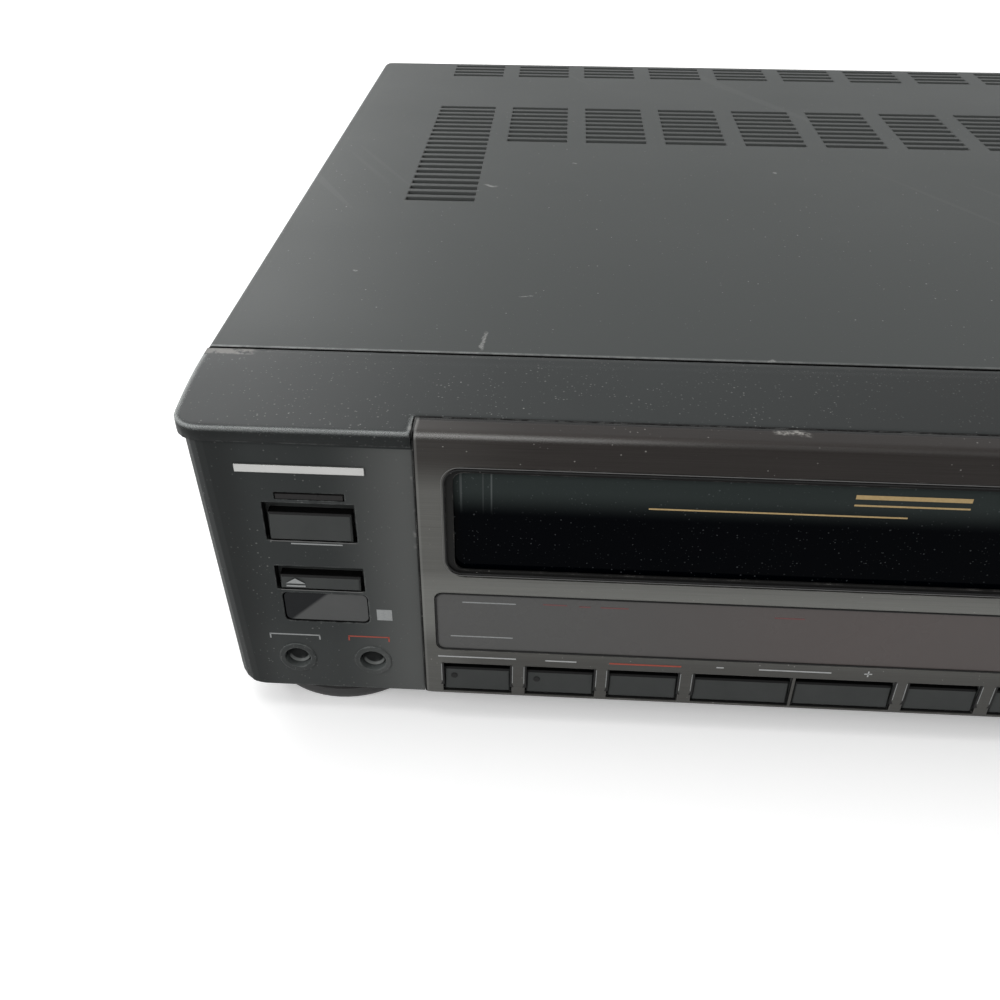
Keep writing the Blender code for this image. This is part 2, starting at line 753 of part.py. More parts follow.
def board_posts(name, board, top):
    """Four posts from the pan's floor to the underside of a board."""
    left, right, front, back = board
    posts = []
    for across in (left + BOARD_POST_INSET, right - BOARD_POST_INSET):
        for place_back in (front + BOARD_POST_INSET, back - BOARD_POST_INSET):
            posts.append(
                post(name, across, place_back, top, PAN_TOP + SHEET / 2, BOARD_POST_RADIUS)
            )
    return posts


def make_chassis_base(steel):
    """The base pan: a floor with turned-up sides, a front tongue and posts for the boards."""
    edge = SHEET + SEAT_GAP
    floor_back = REAR_FACE - SHEET - SEAT_GAP
    floor_front = PANEL_DEPTH + COVER_GAP
    floor = (PAN_TOP, PAN_BOTTOM)
    sides = (PAN_TOP - PAN_FLANGE, PAN_BOTTOM)
    base = box(
        "chassis_base", (edge, WIDTH - edge), (floor_front, floor_back), floor, steel
    )
    tongue = box(
        "pan_tongue",
        (PAN_TONGUE_INSET, WIDTH - PAN_TONGUE_INSET),
        (PAN_FRONT, floor_front + OVERRUN),
        floor,
    )
    left = box("pan_left", (edge, edge + SHEET), (floor_front, floor_back), sides)
    right = box(
        "pan_right", (WIDTH - edge - SHEET, WIDTH - edge), (floor_front, floor_back), sides
    )
    back = box(
        "pan_back",
        (edge, WIDTH - edge),
        (floor_back - SHEET, floor_back),
        (PAN_TOP - PAN_FLANGE / 2, PAN_BOTTOM),
    )
    join(base, tongue, left, right, back)
    board_under = PAN_TOP - BOARD_LIFT + SEAT_GAP
    join(base, *board_posts("power_board_post", POWER_BOARD, board_under))
    join(base, *board_posts("main_board_post", MAIN_BOARD, board_under))
    hole = SCREW_SHANK_RADIUS + RUNNING_GAP
    for name, side, place_back in screw_places():
        start = edge if side < 0 else WIDTH - edge
        cut(
            base,
            rod(name + "_hole", "X", hole, at(start, place_back, SCREW_DROP), 4 * SHEET),
        )
    return base


def foot_places():
    return [
        ("foot_front_left", FOOT_SIDE_INSET, FOOT_FRONT_INSET),
        ("foot_front_right", WIDTH - FOOT_SIDE_INSET, FOOT_FRONT_INSET),
        ("foot_rear_left", FOOT_SIDE_INSET, CASE_DEPTH - FOOT_REAR_INSET),
        ("foot_rear_right", WIDTH - FOOT_SIDE_INSET, CASE_DEPTH - FOOT_REAR_INSET),
    ]


def make_feet(plastic):
    """Four turned feet, each with a boss that meets the pan."""
    boss = HEIGHT - PAN_BOTTOM - SEAT_GAP
    shoulder = FOOT_HEIGHT - SEAT_GAP
    profile = [
        (0, boss),
        (FOOT_BOSS_RADIUS, boss),
        (FOOT_BOSS_RADIUS, shoulder),
        (FOOT_RADIUS - FOOT_TAPER / 3, shoulder),
        (FOOT_RADIUS, shoulder - FOOT_TAPER / 3),
        (FOOT_RADIUS, FOOT_HEIGHT / 3),
        (FOOT_RADIUS - FOOT_TAPER, 0),
        (0, 0),
    ]
    for name, across, back in foot_places():
        turned(name, profile, "Z", at(across, back, HEIGHT), plastic)


def panel_outline(inset, back):
    """The front panel's plan: sides that bow inwards to round front corners."""
    radius = PANEL_CORNER - inset
    corner = inset + radius
    steps = 5
    left = []
    for step in range(steps + 1):
        place_back = PANEL_BOW_START + (corner - PANEL_BOW_START) * step / steps
        bow = PANEL_BOW * (1 - place_back / PANEL_BOW_START) ** PANEL_BOW_SHARE
        left.append((inset + bow, place_back))
    centre = left[-1][0] + radius
    for step in range(1, steps + 1):
        angle = step / steps * math.pi / 2
        left.append((centre - radius * math.cos(angle), corner - radius * math.sin(angle)))
    left.insert(0, (inset, back))
    return left + [(WIDTH - across, place_back) for across, place_back in reversed(left)]


def panel_block(name, inset, back, down, lean, finish=None):
    """A slab of the panel's plan whose sides lean in towards the bottom."""
    outline = panel_outline(inset, back)
    made = plate(name, outline, "top", length(down), at(0, 0, middle(down)), finish)
    share = 1 - lean / (WIDTH / 2)
    for vert in made.data.vertices:
        if vert.co.z < 0:
            vert.co.x = WIDTH / 2 + (vert.co.x - WIDTH / 2) * share
    return made


def bottom_corners(name, inset, floor, radius):
    """Cutters that round the panel's two bottom corners, seen from the front."""
    made = []
    start = PANEL_LEAN + inset
    for side in (-1, 1):
        outline = [(-OVERRUN, -OVERRUN)]
        for step in range(6):
            angle = step / 5 * math.pi / 2
            outline.append((radius * (1 - math.sin(angle)), radius * (1 - math.cos(angle))))
        outline.insert(1, (radius, -OVERRUN))
        outline.append((-OVERRUN, radius))
        mirrored = [(-side * u, v) for u, v in outline]
        edge = start if side < 0 else WIDTH - start
        centre = at(edge, PANEL_DEPTH / 2, floor)
        made.append(plate(name, mirrored, "front", 2 * PANEL_DEPTH, centre))
    return made


def key_hole(key, side_margin, top_margin):
    """The opening round a key: snug below it, with a margin at its sides and above it."""
    left, right, top, bottom = key
    across = (left - side_margin, right + side_margin)
    return across, (top - top_margin, bottom + KEY_GAP)


def mirror_key(key):
    left, right, top, bottom = key
    return (WIDTH - right, WIDTH - left, top, bottom)


def wing_keys():
    return [
        ("power_button", POWER_KEY),
        ("eject_button", EJECT_KEY),
        ("pause_button", mirror_key(POWER_KEY)),
        ("record_button", mirror_key(EJECT_KEY)),
    ]


def lower_keys():
    names = (
        "synchro_edit_button",
        "edit_button",
        "timer_rec_button",
        "channel_down_button",
        "channel_up_button",
        "input_select_button",
        "tape_speed_button",
    )
    keys = []
    wide = LENS_RIGHT - LENS_LEFT
    for name, left_share, right_share in zip(names, LOWER_KEY_LEFT_SHARES, LOWER_KEY_RIGHT_SHARES):
        left = LENS_LEFT + left_share * wide
        right = LENS_LEFT + right_share * wide
        keys.append((name, (left, right, LOWER_KEY_TOP, LOWER_KEY_BOTTOM)))
    return keys


def deck_keys():
    names = (("rewind_button", "fast_forward_button"), ("play_button", "stop_button"))
    keys = []
    for row, pair in enumerate(names):
        top = DECK_KEY_TOP + row * (DECK_KEY_HEIGHT + DECK_KEY_ROW_SPACING)
        for column, name in enumerate(pair):
            left = DECK_KEY_LEFT + column * (DECK_KEY_WIDTH + DECK_KEY_SPACING)
            keys.append((name, (left, left + DECK_KEY_WIDTH, top, top + DECK_KEY_HEIGHT)))
    return keys


def fascia_keys():
    """Every key of the fascia, with the margin that its hole has above it."""
    lower = [(name, key, LOWER_KEY_SHADOW) for name, key in lower_keys()]
    return lower + [(name, key, KEY_SHADOW) for name, key in deck_keys()]


def wall_span():
    return (FACE_SETBACK, FACE_SETBACK + BACKING_WALL)


def through_wall():
    return grown(wall_span(), OVERRUN)


def door_span():
    """The door is a little larger than the fascia's window, apart from its top edge."""
    across = (WINDOW_LEFT - DOOR_OVERLAP, WINDOW_RIGHT + DOOR_OVERLAP)
    return across, (WINDOW_TOP - SEAT_GAP, WINDOW_BOTTOM + DOOR_OVERLAP)


def make_front_panel(plastic):
    """The moulded front: a rounded lip over a hollow body that is open behind."""
    lip = panel_block("front_panel", 0, PANEL_DEPTH, (0, LIP_HEIGHT), 0, plastic)
    half_lip = LIP_HEIGHT / 2
    round_edges(
        lip,
        lambda centre, way: centre.z > half_lip * 0.99
        and abs(way.z) < 0.1
        and centre.y < PANEL_DEPTH - OVERRUN,
        LIP_RADIUS,
        3,
    )
    body = panel_block(
        "panel_body", FACE_SETBACK, PANEL_DEPTH, (LIP_HEIGHT / 2, CASE_HEIGHT), PANEL_LEAN
    )
    cut(body, *bottom_corners("panel_corner", FACE_SETBACK, CASE_HEIGHT, PANEL_BOTTOM_RADIUS))
    join(lip, body)
    hollow = panel_block(
        "panel_hollow",
        FACE_SETBACK + BACKING_WALL,
        PANEL_DEPTH + OVERRUN,
        (WALL, CASE_HEIGHT - PANEL_FLOOR),
        PANEL_LEAN,
    )
    inner_radius = PANEL_BOTTOM_RADIUS - PANEL_FLOOR
    cut(
        hollow,
        *bottom_corners(
            "hollow_corner",
            FACE_SETBACK + BACKING_WALL,
            CASE_HEIGHT - PANEL_FLOOR,
            inner_radius,
        ),
    )
    cut(lip, hollow)
    add_door_lugs(lip)
    add_board_posts(lip)
    add_rings(lip)
    cut_panel(lip)
    return lip


def add_door_lugs(panel):
    """An ear behind each end of the cassette window, which carries the door's pin."""
    across, down = door_span()
    back = (FACE_SETBACK + BACKING_WALL / 2, DOOR_PIVOT_SETBACK + 2 * DOOR_PIN_RADIUS)
    rise = (DOOR_PIVOT_DROP - 2 * DOOR_PIN_RADIUS, DOOR_PIVOT_DROP + 2 * DOOR_PIN_RADIUS)
    inner = DOOR_GAP + SEAT_GAP
    for name, near, far in (
        ("left", across[0] - inner - DOOR_LUG_THICKNESS, across[0] - inner),
        ("right", across[1] + inner, across[1] + inner + DOOR_LUG_THICKNESS),
    ):
        lug = box("door_lug_" + name, (near, far), back, rise)
        centre = at(middle((near, far)), DOOR_PIVOT_SETBACK, DOOR_PIVOT_DROP)
        bore = rod(
            "door_bore_" + name,
            "X",
            DOOR_PIN_RADIUS + RUNNING_GAP,
            centre,
            2 * DOOR_LUG_THICKNESS,
        )
        join(panel, lug)
        cut(panel, bore)


def board_fixings():
    """Places of the panel's posts that carry the front board."""
    outer = FASCIA_SEAM - 2 * POST_RADIUS
    low = SCREW_DROP - POST_RADIUS
    high = WINDOW_TOP + 4 * POST_RADIUS
    bridge = middle((WINDOW_BOTTOM, LENS_TOP))
    inner = grown((WINDOW_LEFT, WINDOW_RIGHT), -BRIDGE_POST_INSET)
    places = [(outer, high), (outer, low), (WIDTH - outer, high), (WIDTH - outer, low)]
    return places + [(inner[0], bridge), (inner[1], bridge)]


def add_board_posts(panel):
    start = FACE_SETBACK + BACKING_WALL / 2
    reach = FRONT_BOARD_SETBACK - SEAT_GAP - start
    for across, down in board_fixings():
        centre = at(across, start + reach / 2, down)
        join(panel, rod("board_post", "Y", POST_RADIUS, centre, reach))


def add_rings(panel):
    """The raised rings round the two recessed keys."""
    reach = ROUND_RING_HEIGHT + BACKING_WALL / 2
    for across in ROUND_KEY_LEFTS:
        centre = at(across, FACE_SETBACK - ROUND_RING_HEIGHT + reach / 2, ROUND_KEY_DROP)
        join(panel, rod("key_ring", "Y", ROUND_RING_RADIUS, centre, reach, sides=ROUND_SIDES))


def cut_panel(panel):
    """The fascia's seat, the windows and a hole for each key."""
    fascia = (FASCIA_SEAM - SEAT_GAP, WIDTH - FASCIA_SEAM + SEAT_GAP)
    down = (-OVERRUN, CASE_HEIGHT + OVERRUN)
    seat = (-OVERRUN, FASCIA_SHEET + SEAT_GAP)
    turn = (-OVERRUN, FASCIA_TURN_BACK + SEAT_GAP)
    cut(panel, box("fascia_seat", fascia, seat, down))
    cut(panel, box("turn_back_seat", fascia, turn, (-OVERRUN, FASCIA_SHEET + SEAT_GAP)))
    chin_start = (FACE_SETBACK - OVERRUN, -FASCIA_CHIN_DROP + OVERRUN + CHIN_RISE)
    chin_end = (FACE_SETBACK + PANEL_CHIN, -CASE_HEIGHT - OVERRUN / 2)
    chin = [chin_start, chin_end, (FACE_SETBACK - OVERRUN, chin_end[1])]
    cut(panel, plate("panel_chin", chin, "side", length(fascia), at(WIDTH / 2, 0, 0)))
    door_across, door_down = door_span()
    bay_across = grown(door_across, DOOR_GAP)
    cut(panel, box("door_bay", bay_across, through_wall(), grown(door_down, DOOR_GAP)))
    cut_lens_seat(panel)
    cut_sensor_seat(panel)
    for name, key in wing_keys():
        across, hole_down = key_hole(key, WING_KEY_MARGIN, WING_KEY_SHADOW)
        cut(panel, box(name + "_hole", across, through_wall(), hole_down))
    for name, key, shadow in fascia_keys():
        across, hole_down = key_hole(key, KEY_GAP, shadow)
        cut(panel, box(name + "_hole", across, through_wall(), hole_down))
    bore_reach = 2 * BACKING_WALL + OVERRUN
    for across in ROUND_KEY_LEFTS:
        centre = at(across, middle(wall_span()), ROUND_KEY_DROP)
        radius = ROUND_KEY_RADIUS + KEY_GAP
        cut(panel, rod("round_hole", "Y", radius, centre, bore_reach, sides=ROUND_SIDES))
    left, right, top, bottom = INDICATOR
    lamp = box(
        "indicator_hole",
        grown((left, right), SEAT_GAP),
        through_wall(),
        grown((top, bottom), SEAT_GAP),
    )
    cut(panel, lamp)
    for name, across, back in foot_places()[:2]:
        radius = FOOT_BOSS_RADIUS + SEAT_GAP
        cut(panel, post(name + "_hole", across, back, PAN_BOTTOM - OVERRUN, HEIGHT, radius))


def lens_edges():
    return (LENS_LEFT, LENS_RIGHT), (LENS_TOP, LENS_BOTTOM)


def cut_lens_seat(panel):
    """A pocket for the display lens, with a smaller window for the tube behind it."""
    across, down = lens_edges()
    pocket = (-OVERRUN, LENS_SETBACK + LENS_THICKNESS + SEAT_GAP)
    seat_across = grown(across, SEAT_GAP)
    seat_down = grown(down, SEAT_GAP)
    cut(panel, rounded_plate("lens_seat", seat_across, pocket, seat_down, LENS_RADIUS))
    opening = box(
        "tube_window", grown(across, -LENS_LEDGE), through_wall(), grown(down, -LENS_LEDGE)
    )
    cut(panel, opening)


def cut_sensor_seat(panel):
    left, right, top, bottom = SENSOR_WINDOW
    pocket = (-OVERRUN, FACE_SETBACK + SENSOR_THICKNESS + 2 * SEAT_GAP)
    across = grown((left, right), SEAT_GAP)
    down = grown((top, bottom), SEAT_GAP)
    cut(panel, rounded_plate("sensor_seat", across, pocket, down, SENSOR_RADIUS))
    opening = box(
        "sensor_opening",
        grown((left, right), -LENS_LEDGE),
        through_wall(),
        grown((top, bottom), -LENS_LEDGE),
    )
    cut(panel, opening)


def fascia_profile():
    """The fascia from its side: a turned-back top, a round edge, a flat face and a chin."""
    steps = 4
    outer = [(FASCIA_TURN_BACK, 0)]
    for step in range(steps + 1):
        angle = step / steps * math.pi / 2
        outer.append(
            (
                FASCIA_EDGE_RADIUS * (1 - math.sin(angle)),
                -FASCIA_EDGE_RADIUS * (1 - math.cos(angle)),
            )
        )
    outer.append((0, -FASCIA_CHIN_DROP))
    outer.append((FASCIA_CHIN_SETBACK, -CASE_HEIGHT))
    inner = [
        (FASCIA_CHIN_SETBACK + FASCIA_SHEET, -CASE_HEIGHT),
        (FASCIA_SHEET, -FASCIA_CHIN_DROP - FASCIA_SHEET / 4),
        (FASCIA_SHEET, -FASCIA_SHEET),
        (FASCIA_TURN_BACK, -FASCIA_SHEET),
    ]
    return outer + inner


def make_fascia_panel(metal):
    """The brushed plate that wraps the middle of the front, with its windows and key holes."""
    centre = at(WIDTH / 2, 0, 0)
    span = WIDTH - 2 * FASCIA_SEAM
    fascia = plate("fascia_panel", fascia_profile(), "side", span, centre, metal)
    through = (-OVERRUN, FASCIA_SHEET + OVERRUN)
    window = (WINDOW_LEFT, WINDOW_RIGHT), (WINDOW_TOP, WINDOW_BOTTOM)
    cut(fascia, rounded_plate("window_hole", window[0], through, window[1], WINDOW_RADIUS))
    across, down = lens_edges()
    cut(
        fascia,
        rounded_plate(
            "lens_hole", grown(across, SEAT_GAP), through, grown(down, SEAT_GAP), LENS_RADIUS
        ),
    )
    for name, key, shadow in fascia_keys():
        hole_across, hole_down = key_hole(key, KEY_GAP, shadow)
        cut(fascia, box(name + "_fascia_hole", hole_across, through, hole_down))
    for side in (FASCIA_SEAM, WIDTH - FASCIA_SEAM):
        inward = FASCIA_CORNER_CUT if side < WIDTH / 2 else -FASCIA_CORNER_CUT
        outline = [
            (side - inward, -CASE_HEIGHT + FASCIA_CORNER_CUT - OVERRUN - abs(inward)),
            (side + 2 * inward, -CASE_HEIGHT - FASCIA_CORNER_CUT),
            (side - inward, -CASE_HEIGHT + 2 * FASCIA_CORNER_CUT),
        ]
        cut(fascia, plate("fascia_corner", outline, "front", WALL * 4, at(0, 0, 0)))
    rim = (-OVERRUN, WINDOW_RIM_DEPTH)
    cut(
        fascia,
        rounded_plate(
            "window_rim",
            grown(window[0], WINDOW_RIM),
            rim,
            grown(window[1], WINDOW_RIM),
            WINDOW_RADIUS + WINDOW_RIM,
        ),
    )
    return fascia


def make_cassette_door(glass):
    """The smoked flap behind the window, hung on a barrel with a pin at each end."""
    across, down = door_span()
    back = (DOOR_SETBACK, DOOR_SETBACK + DOOR_THICKNESS)
    door = box("cassette_door", across, back, down, glass)
    round_edges(
        door,
        lambda centre, way: abs(way.x) > 0.9 and centre.z > 0 and centre.y < 0,
        DOOR_EDGE_RADIUS,
        4,
    )
    pivot = at(middle(across), DOOR_PIVOT_SETBACK, DOOR_PIVOT_DROP)
    barrel = rod("door_barrel", "X", DOOR_BARREL_RADIUS, pivot, length(across))
    pin_reach = length(across) + 2 * DOOR_PIN_REACH
    pins = rod("door_pins", "X", DOOR_PIN_RADIUS, pivot, pin_reach)
    join(door, barrel, pins)
    set_origin(door, pivot)
    return door


def make_display_lens(plastic):
    across, down = lens_edges()
    back = (LENS_SETBACK, LENS_SETBACK + LENS_THICKNESS)
    return rounded_plate("display_lens", across, back, down, LENS_RADIUS, plastic)


def make_remote_window(plastic):
    left, right, top, bottom = SENSOR_WINDOW
    back = (FACE_SETBACK + SEAT_GAP, FACE_SETBACK + SEAT_GAP + SENSOR_THICKNESS)
    return rounded_plate(
        "remote_window", (left, right), back, (top, bottom), SENSOR_RADIUS, plastic
    )


def make_power_indicator(plastic):
    left, right, top, bottom = INDICATOR
    back = (FACE_SETBACK - SEAT_GAP / 2, FACE_SETBACK + BACKING_WALL + OVERRUN)
    return box("power_indicator", (left, right), back, (top, bottom), plastic)


def add_flange_and_stem(key, name, across, down):
    """The stop behind the wall, which keeps a key in, and the stem that works its switch."""
    front = FACE_SETBACK + BACKING_WALL + SEAT_GAP
    back = front + KEY_FLANGE_THICKNESS
    flange = box(name + "_flange", across, (front, back), down)
    end = FRONT_BOARD_SETBACK - KEY_TRAVEL - SEAT_GAP
    start = front + KEY_FLANGE_THICKNESS / 2
    centre = at(middle(across), middle((start, end)), middle(down))
    join(key, flange, rod(name + "_stem", "Y", KEY_STEM_RADIUS, centre, end - start))


def make_key(name, key, face, slope, plastic):
    """A key cap whose face slopes back towards its top."""
    left, right, top, bottom = key
    back = FACE_SETBACK + BACKING_WALL + SEAT_GAP + KEY_FLANGE_THICKNESS / 2
    outline = [(face + slope, -top), (face, -bottom), (back, -bottom), (back, -top)]
    centre = at(middle((left, right)), 0, 0)
    cap = plate(name, outline, "side", right - left, centre, plastic)
    round_edges(
        cap,
        lambda middle_point, way: middle_point.y < back - KEY_EDGE and abs(way.y) < 0.9,
        KEY_EDGE,
        1,
    )
    return cap


def make_keys(plastic):
    """Every rectangular key on the wings, the lower row and the tape controls."""
    for name, key in wing_keys():
        across, down = key_hole(key, WING_KEY_MARGIN, WING_KEY_SHADOW)
        face = FACE_SETBACK - SEAT_GAP
        cap = make_key(name, key, face, SLOPE_TOP, plastic)
        add_flange_and_stem(cap, name, grown(across, KEY_FLANGE), grown(down, KEY_FLANGE))
    for name, key, shadow in fascia_keys():
        across, down = key_hole(key, KEY_GAP, shadow)
        low = key[2] == LOWER_KEY_TOP
        cap = make_key(name, key, KEY_RECESS, KEY_RECESS / 2 if low else 0, plastic)
        foot = key[3] if low else down[1] + KEY_FLANGE
        add_flange_and_stem(cap, name, across, (down[0] - KEY_FLANGE, foot))


def make_round_keys(plastic):
    names = ("counter_reset_button", "quick_timer_button")
    front = FACE_SETBACK + ROUND_KEY_RECESS
    stop = FACE_SETBACK + BACKING_WALL + SEAT_GAP
    back = stop + KEY_FLANGE_THICKNESS
    for name, across in zip(names, ROUND_KEY_LEFTS):
        centre = at(across, middle((front, back)), ROUND_KEY_DROP)
        cap = rod(name, "Y", ROUND_KEY_RADIUS, centre, back - front, plastic, ROUND_SIDES)
        centre = at(across, middle((stop, back)), ROUND_KEY_DROP)
        radius = ROUND_KEY_RADIUS + KEY_GAP + KEY_FLANGE
        flange = rod(name + "_flange", "Y", radius, centre, back - stop)
        end = FRONT_BOARD_SETBACK - KEY_TRAVEL - SEAT_GAP
        start = stop + KEY_FLANGE_THICKNESS / 2
        centre = at(across, middle((start, end)), ROUND_KEY_DROP)
        join(cap, flange, rod(name + "_stem", "Y", KEY_STEM_RADIUS, centre, end - start))


def make_front_board(laminate):
    """The switch and display board, notched to let the cassette pass over it."""
    back = (FRONT_BOARD_SETBACK, FRONT_BOARD_SETBACK + BOARD)
    board = box(
        "front_board",
        (FRONT_BOARD_INSET, WIDTH - FRONT_BOARD_INSET),
        back,
        (FRONT_BOARD_TOP, FRONT_BOARD_BOTTOM),
        laminate,
    )
    across, down = door_span()
    notch = box(
        "bay_notch",
        grown(across, BAY_CLEARANCE),
        grown(back, OVERRUN),
        (0, down[1] + BAY_CLEARANCE / 2),
    )
    cut(board, notch)
    return board


def make_display_tube(glass):
    """The display tube, which stands on the front board behind the lens."""
    across, down = lens_edges()
    back = FRONT_BOARD_SETBACK - SEAT_GAP
    depth = (back - TUBE_THICKNESS, back)
    tube = box(
        "display_tube",
        (across[0] + TUBE_INSET, across[1] - TUBE_INSET),
        depth,
        grown(down, -LENS_LEDGE),
        glass,
    )
    round_edges(tube, lambda centre, way: True, KEY_EDGE, 1)
    return tube


def rear_plate_span():
    return (REAR_FACE - SHEET, REAR_FACE)


def jack_centres():
    left, right, top, bottom = JACK_BLOCK
    centres = []
    for column in range(JACK_COLUMNS):
        across = left + (right - left) * (column + 0.5) / JACK_COLUMNS
        for row in range(JACK_ROWS):
            centres.append((across, top + (bottom - top) * (row + 0.5) / JACK_ROWS))
    return centres


def aerial_centres():
    left, right, top, bottom = TUNER
    centres = []
    for row in range(AERIAL_COUNT):
        centres.append((middle((left, right)), top + (bottom - top) * (row + 0.5) / AERIAL_COUNT))
    return centres


def make_rear_panel(steel):
    """The sheet that closes the back, with a hole for each connector."""
    edge = SHEET + SEAT_GAP
    down = (SHEET + SEAT_GAP, PAN_TOP - SEAT_GAP)
    panel = box("rear_panel", (edge, WIDTH - edge), rear_plate_span(), down, steel)
    middle_back = middle(rear_plate_span())
    for number, (across, place_down) in enumerate(jack_centres()):
        hole = rod(
            f"jack_hole_{number}",
            "Y",
            JACK_RADIUS + SEAT_GAP,
            at(across, middle_back, place_down),
            4 * SHEET,
            sides=ROUND_SIDES // 2,
        )
        cut(panel, hole)
    for number, (across, place_down) in enumerate(aerial_centres()):
        hole = rod(
            f"aerial_hole_{number}",
            "Y",
            AERIAL_RADIUS + SEAT_GAP,
            at(across, middle_back, place_down),
            4 * SHEET,
            sides=ROUND_SIDES // 2,
        )
        cut(panel, hole)
    left, right, top, bottom = INLET
    opening = box(
        "inlet_opening",
        grown((left, right), SEAT_GAP),
        grown(rear_plate_span(), OVERRUN),
        grown((top, bottom), SEAT_GAP),
    )
    cut(panel, opening)
    return panel


def make_av_jack_block(plastic):
    """A moulded block behind the rear panel, with two rows of bored jacks that pass through it."""
    left, right, top, bottom = JACK_BLOCK
    face = REAR_FACE - SHEET - SEAT_GAP
    block = box(
        "av_jack_block", (left, right), (face - JACK_BLOCK_DEPTH, face), (top, bottom), plastic
    )
    start = face - OVERRUN
    for number, (across, down) in enumerate(jack_centres()):
        centre = at(across, middle((start, DEPTH)), down)
        sleeve = rod(f"jack_{number}", "Y", JACK_RADIUS, centre, DEPTH - start)
        bore_start = DEPTH - JACK_BORE_DEPTH
        centre = at(across, middle((bore_start, DEPTH + OVERRUN)), down)
        reach = JACK_BORE_DEPTH + OVERRUN
        bore = rod(f"jack_bore_{number}", "Y", JACK_BORE_RADIUS, centre, reach)
        join(block, sleeve)
        cut(block, bore)
    return block


def make_tuner_box(steel):
    """The screened aerial box on the rear panel, with its two threaded connectors."""
    left, right, top, bottom = TUNER
    face = REAR_FACE - SHEET - SEAT_GAP
    case = box("tuner_box", (left, right), (face - TUNER_DEPTH, face), (top, bottom), steel)
    start = face - OVERRUN
    end = DEPTH - AERIAL_SETBACK
    for number, (across, down) in enumerate(aerial_centres()):
        centre = at(across, middle((start, end)), down)
        sleeve = rod(f"aerial_{number}", "Y", AERIAL_RADIUS, centre, end - start)
        bore_start = end - JACK_BORE_DEPTH
        centre = at(across, middle((bore_start, end + OVERRUN)), down)
        reach = JACK_BORE_DEPTH + OVERRUN
        bore = rod(f"aerial_bore_{number}", "Y", JACK_BORE_RADIUS, centre, reach)
        join(case, sleeve)
        cut(case, bore)
    return case


def make_mains_inlet(plastic):
    """A two-pin inlet in the rear panel, on a flange behind it."""
    left, right, top, bottom = INLET
    end = REAR_FACE + INLET_PROUD
    body = box("mains_inlet", (left, right), (end - INLET_DEPTH, end), (top, bottom), plastic)
    flange_back = REAR_FACE - SHEET - SEAT_GAP
    flange = box(
        "inlet_flange",
        grown((left, right), INLET_HOLE_WALL),
        (flange_back - INLET_HOLE_WALL, flange_back),
        grown((top, bottom), INLET_HOLE_WALL),
    )
    join(body, flange)
    across, down = inlet_hole()
    hole = rounded_plate(
        "inlet_hole",
        across,
        (end - INLET_HOLE_DEPTH, end + OVERRUN),
        down,
        length(down) / 2 - SEAT_GAP,
    )
    cut(body, hole)
    start = end - INLET_HOLE_DEPTH - OVERRUN
    stop = end - INLET_HOLE_WALL
    for side in (-1, 1):
        centre = at(
            middle((left, right)) + side * INLET_PIN_SPREAD,
            middle((start, stop)),
            middle((top, bottom)),
        )
        join(body, rod("inlet_pin", "Y", INLET_PIN_RADIUS, centre, stop - start))
    return body


def inlet_hole():
    left, right, top, bottom = INLET
    return grown((left, right), -2 * INLET_HOLE_WALL), grown((top, bottom), -INLET_HOLE_WALL)


def make_board(name, board, part_shares, laminate):
    """A board on its posts, with its largest components standing on it."""
    left, right, front, back = board
    bottom = PAN_TOP - BOARD_LIFT
    top = bottom - BOARD
    made = box(name, (left, right), (front, back), (top, bottom), laminate)
    wide = right - left
    deep = back - front
    for number, (across_share, back_share, width_share, depth_share, rise) in enumerate(part_shares):
        across = left + across_share * wide
        place_back = front + back_share * deep
        part = box(
            f"{name}_part_{number}",
            (across, across + width_share * wide),
            (place_back, place_back + depth_share * deep),
            (top - rise, top + BOARD / 2),
        )
        join(made, part)
    return made


def make_boards(laminate):
    supply_part_shares = (
        (0.10, 0.04, 0.30, 0.16, CAPACITOR_HEIGHT),
        (0.55, 0.05, 0.35, 0.12, CAPACITOR_HEIGHT / 2),
        (0.12, 0.26, 0.76, 0.04, HEAT_SINK_HEIGHT),
        (0.20, 0.36, 0.20, 0.08, CAPACITOR_HEIGHT),
        (0.60, 0.36, 0.20, 0.08, CAPACITOR_HEIGHT),
    )
    make_board("power_supply_board", POWER_BOARD, supply_part_shares, laminate)
    main_part_shares = (
        (0.10, 0.10, 0.16, 0.14, CHIP_HEIGHT),
        (0.45, 0.15, 0.10, 0.18, CHIP_HEIGHT),
        (0.70, 0.12, 0.18, 0.10, SHIELD_HEIGHT),
        (0.12, 0.45, 0.30, 0.20, SHIELD_HEIGHT),
        (0.55, 0.50, 0.12, 0.10, CHIP_HEIGHT),
        (0.75, 0.60, 0.14, 0.20, CHIP_HEIGHT),
        (0.20, 0.80, 0.06, 0.05, CAPACITOR_HEIGHT / 2),
        (0.40, 0.82, 0.06, 0.05, CAPACITOR_HEIGHT / 2),
    )
    make_board("main_board", MAIN_BOARD, main_part_shares, laminate)


